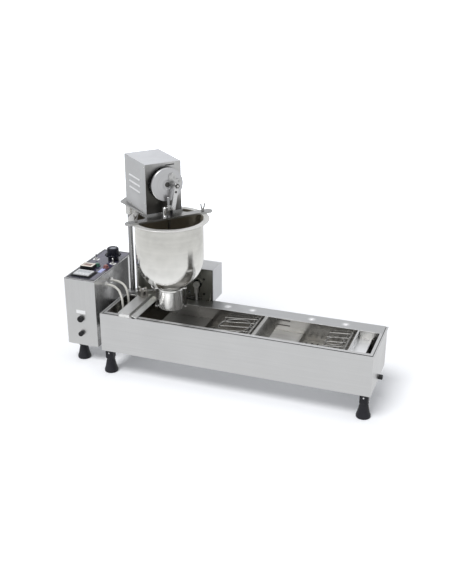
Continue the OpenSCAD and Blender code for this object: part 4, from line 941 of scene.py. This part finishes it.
def buildCrank(edge, thick, hub, shaft, shaftEnd, centreU, faceV, pinU, rodFace, nut, screwU,
               screwDrop):
    place = alongY(centreU, faceV, layout["crankHeight"])
    bm = bmesh.new()
    turned(bm, [
        (0, 1), (hub - 0.6, 1), (hub, 0.5), (hub + 0.5, 0), (edge - 1.4, 0), (edge, 1.4),
        (edge, thick - 1), (edge - 1, thick), (shaft, thick), (shaft, shaftEnd), (0, shaftEnd),
    ], place, 96)
    turned(bm, [(0, 2), (8, 2), (8, 0), (7, -1), (0, -1)], place, 32, finish=1)
    standIn("crank_disc", bm, headMatrix, ["disc", "darkBolt"])

    pinEnd = alongY(pinU, rodFace, layout["crankHeight"])
    bm = bmesh.new()
    turned(bm, [(0, 0), (8.2, 0), (8.2, -1.2), (7.6, -1.6), (0, -1.6)], pinEnd, 32)
    extruded(bm, hexOutline(nut), -1.6, -5.6, pinEnd, 1)
    turned(bm, [(0, -5.6), (3.8, -5.6), (3.8, -7), (3.0, -7.6), (0, -7.6)], pinEnd, 24)
    extraPiece("crankPinNut", bm, "crank_bracket", ["bolts", "darkBolt"], 0.4,
               headMatrix)

    bm = bmesh.new()
    turned(bm, [(0, 0), (3.6, 0), (3.6, -1.2), (3, -1.8), (1.8, -1.8), (1.6, -0.6), (0, -0.6)],
           alongY(screwU, rodFace, layout["crankHeight"] - screwDrop), 20)
    extraPiece("rodSetScrew", bm, "connecting_rod", ["darkBolt"],
               matrix=headMatrix)


buildCrank(**crank)

# Column, lift rod and the two posts beside the plunger

column = {"x": 189.1, "y": 183, "radius": 8, "low": 179, "top": 539}
liftRod = {"u": -46, "v": 167, "radius": 2.5, "low": 239, "top": 547}
posts = {
    "guide": {"u": -11.5, "v": 4.5, "wide": 6.4, "tall": 30},
    "buffer": {"u": 12, "v": 5, "wide": 4.5, "tall": 18},
}


def buildColumn(x, y, radius, low, top):
    bm = bmesh.new()
    turned(bm, [
        (0, low), (radius - 1, low), (radius, low + 1), (radius, top - 1.2), (radius - 1.2, top),
        (0, top),
    ], standing(x, y, 0), 48)
    standIn("column", bm, machineMatrix, ["shaft"])


def buildLiftRod(u, v, radius, low, top):
    nut = radius + 1.5
    bm = bmesh.new()
    turned(bm, [
        (0, low), (nut - 0.3, low), (nut, low + 0.4), (nut, low + 5.6), (radius, low + 6),
        (radius, top - 1), (radius - 0.8, top), (0, top),
    ], standing(u, v, 0), 24)
    standIn("lift_rod", bm, headMatrix, ["bolts"])


def addPost(bm, finish, u, v, wide, tall):
    turned(bm, [
        (0, 0), (wide, 0), (wide, 3), (wide - 0.6, 3.6), (wide - 0.6, 4.6), (wide, 5.2),
        (wide, tall - 1), (wide - 1, tall), (wide * 0.45, tall), (wide * 0.4, tall - 1.5),
        (0, tall - 1.5),
    ], standing(u, v, layout["yokeTop"]), 32, finish=finish)


buildColumn(**column)
buildLiftRod(**liftRod)
postForms = bmesh.new()
for finish, post in enumerate(posts.values()):
    addPost(postForms, finish, **post)
standIn("guide_posts", postForms, headMatrix, ["post", "buffer"])

wingSpots = {"wing_bolt_left": -110, "wing_bolt_right": 118}
wing = {"stem": 3, "collar": 4.6, "low": 533.3, "seat": 539.3, "thick": 3.2}


def buildWingBolt(node, u, stem, collar, low, seat, thick):
    bm = bmesh.new()
    turned(bm, [
        (0, low), (stem, low), (stem, seat), (collar, seat), (collar, seat + 3),
        (collar - 1, seat + 7), (3, seat + 8.4), (0, seat + 8.4),
    ], standing(u, 0, 0), 32)
    outline = [(0.5, 1.5), (3.4, 2), (5.6, 8), (7.4, 15)] + arc(0, 180, 6, 2.0, 6.3, 22.5)
    outline += [(3.4, 15), (2.0, 10), (0.5, 8)]
    for turn in (0, 180):
        place = standing(u, 0, seat) @ rotated(turn, "Z") @ rotated(90, "X")
        extruded(bm, outline, -thick / 2, thick / 2, place)
    standIn(node, bm, headMatrix, ["wingBolt"], 0.9)


for node, u in wingSpots.items():
    buildWingBolt(node, u, **wing)
print("head built")


# Trough fittings: feet, drain cap, heater, fasteners, a strip of painted shade and flap

# Radii at the floor, the neck and the collar; the block over it is square
foot = {"low": 22.5, "top": 13, "collar": 14.5, "block": 26, "blockLow": 50}
# Along, back and up to the top of each foot's block
footSpots = [
    (172, 31, 87), (1023, 31, 87), (210, 191, 87), (985, 191, 87), (40, 88, 62), (40, 312, 62),
]


def buildFeet(low, top, collar, block, blockLow):
    bm = bmesh.new()
    for x, y, blockTop in footSpots:
        spot = standing(x, y, 0)
        turned(bm, [
            (0, 0), (low - 1, 0), (low, 1), (low, 7), (low - 0.6, 9.5), (low - 2, 12.5),
            (18.9, 18), (17.2, 26), (15.3, 35), (top, 46), (collar - 0.4, 46.8), (collar, 47.6),
            (collar, 49.6), (collar - 1, 50.8), (0, 50.8),
        ], spot, 48)
        extruded(bm, roundedOutline(block, block, 3), blockLow, blockTop, spot)
    standIn("rubber_feet", bm, machineMatrix, ["rubber"], 0.8)


buildFeet(**foot)

drainCap = {
    "x": 1046.3, "y": 120, "z": 94.8, "radius": 7.6, "long": 13, "bore": 6.1, "ribs": 12,
    "rib": 0.38,
}


def buildDrainCap(x, y, z, radius, long, bore, ribs, rib):
    def ribbed(angle, reach, height):
        if reach < radius - 0.1 or not 0.3 < height < long - 1.5:
            return reach
        return reach + rib * max(0.0, math.cos(ribs * angle)) ** 2

    bm = bmesh.new()
    turned(bm, [
        (0, 8.5), (bore, 8.5), (bore, 0), (radius - 0.5, 0), (radius, 0.5), (radius, long - 1.6),
        (radius - 0.4, long - 0.6), (radius - 1.4, long), (0, long),
    ], alongX(x, y, z), 144, ripple=ribbed)
    standIn("drain_cap", bm, machineMatrix, ["black"])


buildDrainCap(**drainCap)

# The first bend leaves the wall and dips into the oil; the second comes down to the floor
heater = {
    "wall": 112, "level": 264, "radius": 4, "rim": 215, "floor": 112.5, "turnAt": 927,
    "easeOut": (40, 0, 0), "easeIn": (-4, 3, 44), "drop": (0, 0, 24), "easeDrop": (0, 0, 18),
    "run": 32, "easeRun": (24, 0, 0),
}
heaterEnds = [
    {"across": 129, "dive": (198, 86), "low": 60}, {"across": 169, "dive": (192, 140), "low": 127},
]
heaterNut = {"wide": 19, "deep": 5, "collar": 6, "long": 9}


def bent(start, startEase, endEase, end, steps):
    return interpolate_bezier(start, start + Vector(startEase), end + Vector(endEase), end, steps)


def buildHeater(wall, level, radius, rim, floor, turnAt, easeOut, easeIn, drop, easeDrop, run,
                easeRun):
    runs = []
    for end in heaterEnds:
        x, y = end["dive"]
        start = Vector((wall + heaterNut["long"] + 3, end["across"], level))
        under, away = Vector((x, y, floor)) + Vector(drop), Vector((x + run, end["low"], floor))
        runs.append([
            start - Vector((2.7, 0, 0)),
            *bent(start, easeOut, easeIn, Vector((x, y, rim)), 25),
            *bent(under, -Vector(easeDrop), -Vector(easeRun), away, 13),
        ])
    front, back = (end["low"] for end in heaterEnds)
    turn = arc(-90, 90, 20, (back - front) / 2, turnAt, (front + back) / 2)
    path = runs[0] + [(x, y, floor) for x, y in turn] + runs[1][::-1]
    bm = bmesh.new()
    swept(bm, path, radius, atOrigin, 16)
    standIn("heating_element", bm, machineMatrix, ["heater"])


def buildHeaterNuts(wide, deep, collar, long):
    bm = bmesh.new()
    for end in heaterEnds:
        spot = alongX(heater["wall"], end["across"], heater["level"])
        extruded(bm, hexOutline(wide), 0, deep, spot)
        turned(bm, [
            (0, deep - 1), (collar, deep - 1), (collar, long - 0.8), (collar - 0.8, long),
            (4.3, long), (4.1, long - 0.6), (0, long - 0.6),
        ], spot, 32)
    standIn("heater_fittings", bm, machineMatrix, ["fitting"], 0.5)


buildHeater(**heater)
buildHeaterNuts(**heaterNut)

# Places of the motor cover's screws on each side: back and up, in the head's axes
coverScrews = {"side": 60, "spots": [(42, 692), (42, 576), (67, 550), (155, 549)]}


def buildScrews(side, spots):
    bm = bmesh.new()
    for stud in deckStuds:
        spot = standing(*stud)
        turned(bm, [(0, 0), (8, 0), (8, 0.4), (7.4, 0.7), (0, 0.7)], spot, 40, finish=1)
        turned(bm, domeProfile(5, 1.9, 1.4), spot, 32, finish=1)
    for x, y, blockTop in footSpots:
        spot = facingFront(x, y - foot["block"] / 2 + 5, (foot["blockLow"] + 1 + blockTop) / 2)
        turned(bm, domeProfile(3, 6, 1.6), spot, 24, finish=1)
    toMachine = machineMatrix.inverted() @ headMatrix
    for end in (-1, 1):
        for v, z in spots:
            spot = toMachine @ standing(end * side, v, z) @ rotated(90 * end, "Y")
            turned(bm, domeProfile(3, 1.2, 0.8), spot, 24)
    standIn("screws", bm, machineMatrix, ["bolts", "deckShine"])


buildScrews(**coverScrews)

# A strip of painted shade along the front rim
rimShadeStrip = {"start": 164, "end": 1043, "y": 7, "half": 1.9, "proud": 0.5}
bridgeEnd = {
    "start": 223.6, "end": 260.4, "foot": 3.3, "top": 9.5, "thick": 1.4, "low": 219.1,
    "high": 230.4,
}
# Draws an outline back and up, and pulls it along the machine
sectionMatrix = Matrix(((0, 0, 1, 0), (1, 0, 0, 0), (0, 1, 0, 0), (0, 0, 0, 1)))


def buildRimShadeStrip(start, end, y, half, proud):
    # A dark strip of painted shade in the gap between the casing's fold and the tank's flange
    outline = [(-half, -0.2), (half, -0.2), (half, proud * 0.4), (half - 0.8, proud),
               (0.8 - half, proud), (-half, proud * 0.4)]
    bm = bmesh.new()
    extruded(bm, outline, start, end, standing(0, y, layout["rimHeight"]) @ sectionMatrix)
    extraPiece("rimShadeStrip", bm, "trough_housing", ["foldGap"])


def buildBridgeEnd(start, end, foot, top, thick, low, high):
    # The flap that closes the raised plate's front end
    outline = [(foot, low), (foot + thick, low), (top + thick, high), (top, high)]
    bm = bmesh.new()
    extruded(bm, outline, start, end, sectionMatrix)
    extraPiece("bridgeEnd", bm, "bridge_plate", ["bridge"])


buildRimShadeStrip(**rimShadeStrip)
buildBridgeEnd(**bridgeEnd)
print("trough fittings built")

# Flippers: wire baskets with a hoop, on their shafts

flipper = {
    "level": 206, "shaft": 4, "shaftEnds": (22.3, 185), "dip": -5, "wire": 2, "bars": 5,
    "first": 30, "last": 157.5, "crossEnds": (26, 161.5), "weld": 2.8, "leverTurn": -65,
    "lever": 26, "leverFront": 181, "leverThick": 4, "eye": 8, "tip": 6, "pin": 3,
}
flippers = {"flipper_one": (648, 118), "flipper_two": (950, 72)}


def buildFlipper(node, x, reach, level, shaft, shaftEnds, dip, wire, bars, first, last, crossEnds,
                 weld, leverTurn, lever, leverFront, leverThick, eye, tip, pin):
    bm = bmesh.new()
    swept(bm, [(x, end, level) for end in shaftEnds], shaft, atOrigin, 24)
    basket = standing(x, 0, level) @ rotated(dip, "Y")
    for bar in range(bars):
        y = first + bar * (last - first) / (bars - 1)
        swept(bm, [(-reach, y, 0), (0, y, 0)], wire, basket)
        turned(bm, [(0, -3), (4.9, -3), (5.5, -2.4), (5.5, 2.4), (4.9, 3), (0, 3)],
               basket @ alongY(0, y, 0), 24)
    for off in (2 * shaft + 6, reach - 4):
        swept(bm, [(-off, end, -weld) for end in crossEnds], wire, basket)
    hoop = arc(0, 360, 56, (reach - 2 * shaft) / 2 - 2 * wire, -(reach + 2 * shaft) / 2,
               (first + last) / 2)
    swept(bm, [(along, back, weld) for along, back in hoop[:-1]], wire, basket, 12, True)
    place = standing(x, leverFront, level) @ rotated(leverTurn, "Y")
    # The lever tapers from the eye to the tip; the angles are where its sides meet them
    outline = arc(-51.3, 231.3, 16, eye) + arc(146.4, 393.6, 12, tip, 0, -lever)
    extruded(bm, outline, 0, leverThick, place @ facingFront(0, 4, 0))
    swept(bm, [(0, 3, -lever), (0, 10, -lever)], pin, place, 20)
    standIn(node, bm, machineMatrix, ["wire"])


for node, (x, reach) in flippers.items():
    buildFlipper(node, x, reach, **flipper)
print("flippers built")

# Control panel: plates, border, displays, toggles, buttons, knob and caps

panel = {
    "wide": 112, "deep": 286, "front": 57, "top": 300, "lip": 3, "border": 5, "frontBorder": 13,
}
panelTop = panel["top"]
toggleSpots = {"toggle_lever_rear": (22, 242), "toggle_lever_front": (95, 225)}
# Flat plates, some bare where the photograph has printed ones. Each size is width, depth and
# corner, and each plate lies between its two levels at its spots.
plates = {
    "levelLines": {
        "node": "oil_tank", "finish": "levelLine", "slot": "tank_steel", "bevel": 0,
        "size": (46, 3.4, 0.6), "levels": (-0.7, 0.3),
        "spots": [facingFront(724.5, 165.3, z) for z in (214, 197)],
    },
    "frontPlate": {
        "node": "control_housing", "finish": "whitePlate", "slot": "bezel_plastic",
        "bevel": 0.15, "size": (34, 12, 1), "levels": (0, 0.6),
        "spots": [facingFront(55, 57, 184)],
    },
    "bluePlate": {
        "node": "control_panel", "finish": "bluePlate", "slot": "bezel_plastic", "bevel": 0.15,
        "size": (14, 34, 1), "levels": (0, 0.6), "spots": [standing(88, 154, panelTop)],
    },
    "togglePlates": {
        "node": "control_panel", "finish": "whitePlate", "slot": "bezel_plastic", "bevel": 0.25,
        "size": (22, 15, 2), "levels": (0, 0.8),
        "spots": [standing(x, y, panelTop) for x, y in toggleSpots.values()],
    },
    "controllerGasket": {
        "node": "temperature_controller", "finish": "black", "slot": "black_plastic",
        "bevel": 0.3, "size": (76, 60, 4), "levels": (0, 1.2),
        "spots": [standing(47, 107, panelTop)],
    },
    "counterGasket": {
        "node": "counter_display", "finish": "black", "slot": "black_plastic", "bevel": 0.3,
        "size": (48, 37, 3), "levels": (0, 1.2), "spots": [standing(36, 157.5, panelTop)],
    },
    "counterWindow": {
        "node": "counter_display", "finish": "counterWindow", "slot": "bezel_plastic",
        "bevel": 0.1, "size": (25, 13, 1), "levels": (0, 0.6),
        "spots": [standing(36, 158, 312.9)],
    },
}


def buildPlate(name, node, finish, slot, bevel, size, levels, spots):
    bm = bmesh.new()
    for spot in spots:
        extruded(bm, roundedOutline(*size), *levels, spot)
    extraPiece(name, bm, node, [finish], bevel)


for name, plate in plates.items():
    buildPlate(name, **plate)


def buildPanelTrim(wide, deep, front, top, lip, border, frontBorder):
    middle = standing(wide / 2, front + deep / 2, top)
    across, back = wide - 0.4, deep - 0.4
    bm = bmesh.new()
    framed(bm, across, back, lip, 0.5, middle)
    extraPiece("panelLip", bm, "control_panel", ["foldedEdge"], 0.2)
    bm = bmesh.new()
    framed(bm, across - 2 * lip, back - 2 * lip, border, 0.35, middle)
    strip = frontBorder - border
    extruded(bm, roundedOutline(wide - 2 * lip - 2 * border + 1, strip, 0.5), 0, 0.3,
             standing(wide / 2, front + lip + border + strip / 2 - 0.4, top))
    extraPiece("panelBorder", bm, "control_panel", ["panelBorder"], 0.1)


buildPanelTrim(**panel)

controllerTrim = {
    "window": (45.6, 16.6, 1), "windowAt": (47, 113.5, 306.15), "keyX": 30, "keyY": 95,
    "pitch": 11, "radius": 2.7, "low": 305.9, "high": 306.9,
}


def buildControllerTrim(window, windowAt, keyX, keyY, pitch, radius, low, high):
    bm = bmesh.new()
    extruded(bm, roundedOutline(*window), 0, 0.45, standing(*windowAt))
    for key in range(4):
        turned(bm, domeProfile(radius, high - low, 0.5),
               standing(keyX + key * pitch, keyY, low), 24, finish=1)
    extraPiece("controllerWindow", bm, "temperature_controller",
               ["controllerWindow", "whitePlate"], 0.1)


buildControllerTrim(**controllerTrim)

toggle = {"ball": 3.3, "ballAt": 304, "thin": 1.8, "thick": 3.3, "tipAt": 318}


def buildToggle(node, x, y, ball, ballAt, thin, thick, tipAt):
    profile = arc(-90, 57, 10, ball, 0, ballAt) + [(thin + 0.1, ballAt + 3.6), (thick, tipAt)]
    bm = bmesh.new()
    turned(bm, profile + arc(18, 90, 4, thick, 0, tipAt), standing(x, y, 0), 24)
    standIn(node, bm, machineMatrix, ["bolts"], angle=60)


for node, (x, y) in toggleSpots.items():
    buildToggle(node, x, y, **toggle)

button = {"cap": 7.5, "low": 304.3, "high": 309.3, "top": 310.8, "stem": 3, "collar": 10.5}
buttons = {"start": (55, 188, "green"), "stop": (90, 183, "red")}


def buildButton(label, x, y, finish, cap, low, high, top, stem, collar):
    place = standing(x, y, 0)
    bm = bmesh.new()
    turned(bm, [
        (0, 297), (stem, 297), (stem, low), (cap - 0.4, low), (cap, low + 0.4), (cap, high - 0.3),
        (cap - 0.5, high + 0.5), (cap - 2, top - 0.3), (cap - 4.5, top - 0.05), (0, top),
    ], place, 40)
    standIn(label + "_button", bm, machineMatrix, [finish], angle=50)
    bore, rim, lip = stem + 0.05, cap + 0.3, panelTop + 3
    bm = bmesh.new()
    turned(bm, [
        (bore, 272), (5.7, 272), (5.7, panelTop), (collar - 0.6, panelTop),
        (collar, panelTop + 0.6), (collar, lip - 0.4), (collar - 1.2, lip + 0.8),
        (rim + 0.8, lip + 1), (rim, lip + 0.4), (rim, panelTop + 1), (bore, panelTop + 1),
    ], place, 40, True)
    newPiece(label + "Collar", bm, machineMatrix, nodeBody["button_collars"], [finish],
             ["button_collars"], angle=50)


for label, (x, y, finish) in buttons.items():
    buildButton(label, x, y, finish, **button)

knob = {
    "x": 80, "y": 258, "hub": 18.5, "hubLow": 300.3, "low": 317, "high": 323, "skirt": 28,
    "lobes": 12, "lobe": 4.5, "web": 25, "cap": 20.5, "capTop": 19.8, "top": 345, "grooves": 24,
    "groove": 1.1, "grooveLow": 326, "recess": 11.5,
}


def offNearest(angle, count):
    # How far an angle is from the nearest of evenly spaced ones
    apart = 2 * math.pi / count
    return (angle + apart / 2) % apart - apart / 2


def buildKnob(x, y, hub, hubLow, low, high, skirt, lobes, lobe, web, cap, capTop, top, grooves,
              groove, grooveLow, recess):
    def lobedSkirt(angle, reach, height):
        # Round lobes on a disc, drawn in by what the profile is drawn in
        if reach < web:
            return reach
        off = offNearest(angle, lobes)
        centre = skirt - lobe
        under = max(lobe ** 2 - (centre * math.sin(off)) ** 2, 0)
        return max(web, centre * math.cos(off) + math.sqrt(under)) - (skirt - reach)

    def flutedCap(angle, reach, height):
        # Upright finger grooves cut into the cap's side
        off = offNearest(angle, grooves)
        under = groove ** 2 - (cap * math.sin(off)) ** 2
        if height < grooveLow or reach < recess + 1 or under <= 0:
            return reach
        return min(reach, cap * math.cos(off) - math.sqrt(under))

    place = standing(x, y, 0)
    bm = bmesh.new()
    turned(bm, [(3.1, low + 1), (3.1, hubLow), (hub - 0.5, hubLow), (hub, hubLow + 0.5),
                (hub, low)], place, 64)
    turned(bm, [
        (hub - 1, low), (skirt - 0.8, low), (skirt, low + 0.8), (skirt, high - 1.4),
        (skirt - 1.4, high), (hub, high),
    ], place, 240, ripple=lobedSkirt)
    turned(bm, [
        (hub, high - 0.5), (cap, high - 0.5), (cap, grooveLow), (cap - 0.01, grooveLow + 0.6),
        (capTop + 0.2, top - 2), (capTop - 0.6, top - 0.8), (capTop - 2, top),
        (recess + 0.4, top), (recess, top - 0.4), (recess, top - 1.5), (0, top - 1.5),
    ], place, 288, ripple=flutedCap)
    turned(bm, [(0, top - 1.6), (recess - 0.3, top - 1.6), (recess - 0.3, top - 1.1),
                (recess - 0.7, top - 0.9), (0, top - 0.9)], place, 48, finish=1)
    standIn("power_knob", bm, machineMatrix, ["knob", "knobTop"], angle=40)


buildKnob(**knob)
print("control panel built")


# Studio: a pale floor, a soft world and the photograph's camera

studio = {
    "floorLevel": -0.0005, "floorHalf": 30.0, "lens": 53.66, "aim": (543.2, 130.0, 299.3),
    "azimuth": 20.2, "elevation": 23.3, "distance": 2762.8,
    "floorGlow": 0.04, "glowReach": (0.8, 2.2), "floorMirror": 0.95, "worldLevel": 0.42,
    "worldMirror": 0.92, "litFloor": (0.78, 0.79, 0.81, 1), "seenFloor": (0.965, 0.975, 1.0, 1),
    "glowColour": (0.88, 0.94, 1, 1), "mirroredFloor": (0.95, 0.96, 0.97, 1),
    "worldColour": (0.97, 0.98, 1.0, 1), "ceilingShade": 0.80,
}
scene = bpy.context.scene


def mixShaders(share, first, second, end):
    mix = addNode("MixShader", inputs=(share, first.outputs[0], second.outputs[0]))
    join(mix.outputs[0], share.id_data.nodes[end].inputs["Surface"])


def buildFloor():
    half = studio["floorHalf"]
    bm = bmesh.new()
    corners = [(-half, -half), (half, -half), (half, half), (-half, half)]
    bm.faces.new([bm.verts.new((x, y, studio["floorLevel"])) for x, y in corners])
    mesh = bpy.data.meshes.new("studioFloor")
    bm.to_mesh(mesh)
    bm.free()
    floor = bpy.data.objects.new("studioFloor", mesh)
    scene.collection.objects.link(floor)
    material = bpy.data.materials.new("paleFloor")
    material.use_nodes = True
    tree = material.node_tree
    shader = tree.nodes["Principled BSDF"]
    path = addNode("LightPath", tree=tree).outputs
    # Lifts the lit floor to white for the camera, wholly so away from the machine
    away = vectorMath("LENGTH", addNode("TexCoord", tree=tree).outputs["Object"])
    glow = remap(away, *studio["glowReach"], studio["floorGlow"])
    seen = mixColours(path["Is Camera Ray"], studio["litFloor"], studio["seenFloor"])
    for label, value in {
        "Base Color": seen, "Roughness": 1.0, "Specular IOR Level": 0.0,
        "Emission Color": studio["glowColour"],
        "Emission Strength": compute("MULTIPLY", path["Is Camera Ray"], glow),
    }.items():
        join(value, shader.inputs[label])
    # Steel mirrors an even floor, so that its reflections stay clean
    even = addNode("Emission", {
        "Color": studio["mirroredFloor"], "Strength": studio["floorMirror"]}, tree=tree)
    mixShaders(path["Is Glossy Ray"], shader, even, "Material Output")
    mesh.materials.append(material)


def buildWorld():
    # Pale walls that grey a little towards the ceiling; steel mirrors them near to white
    world = bpy.data.worlds.new("studioWorld")
    world.use_nodes = True
    scene.world = world
    tree = world.node_tree
    soft = tree.nodes["Background"]
    path = addNode("LightPath", tree=tree).outputs
    upward = splitVector(addNode("TexCoord", tree=tree).outputs["Generated"])["Z"]
    mirrored = compute("MAXIMUM", path["Is Glossy Ray"], path["Is Transmission Ray"])
    level, lift = studio["worldLevel"], studio["worldMirror"] - studio["worldLevel"]
    soft.inputs["Color"].default_value = studio["worldColour"]
    join(compute(
        "MULTIPLY", remap(upward, 0.0, 0.85, 1.0, studio["ceilingShade"]),
        compute("MULTIPLY_ADD", mirrored, lift, level),
    ), soft.inputs["Strength"])
    white = addNode("Background", {"Color": (1, 1, 1, 1), "Strength": 1.0}, tree=tree)
    mixShaders(path["Is Camera Ray"], soft, white, "World Output")


lamps = {
    "keyLamp": {"toward": (-0.25, -0.9, 1.5), "strength": 2.0, "softness": 26},
    "topLamp": {"toward": (0.2, 0.3, 1.6), "strength": 0.5, "softness": 60},
}


def addAimed(name, data, backward):
    # Puts a lamp or camera in the scene, looking away from the backward direction
    item = bpy.data.objects.new(name, data)
    scene.collection.objects.link(item)
    item.rotation_mode = "QUATERNION"
    item.rotation_quaternion = backward.to_track_quat("Z", "Y")
    return item


def addSun(name, toward, strength, softness):
    light = bpy.data.lights.new(name, "SUN")
    light.energy = strength
    light.angle = math.radians(softness)
    addAimed(name, light, Vector(toward))


def buildCamera():
    turn, rise = math.radians(studio["azimuth"]), math.radians(studio["elevation"])
    back = Vector((
        math.sin(turn) * math.cos(rise), -math.cos(turn) * math.cos(rise), math.sin(rise)))
    view = bpy.data.cameras.new("photoCamera")
    view.lens = studio["lens"]
    view.sensor_width = 36.0
    camera = addAimed("photoCamera", view, back)
    camera.location = machineMatrix @ Vector(studio["aim"]) + back * studio["distance"] / 1000
    scene.camera = camera


buildFloor()
buildWorld()
for name, settings in lamps.items():
    addSun(name, **settings)
buildCamera()
scene.view_settings.view_transform = "Standard"
print("studio ready")
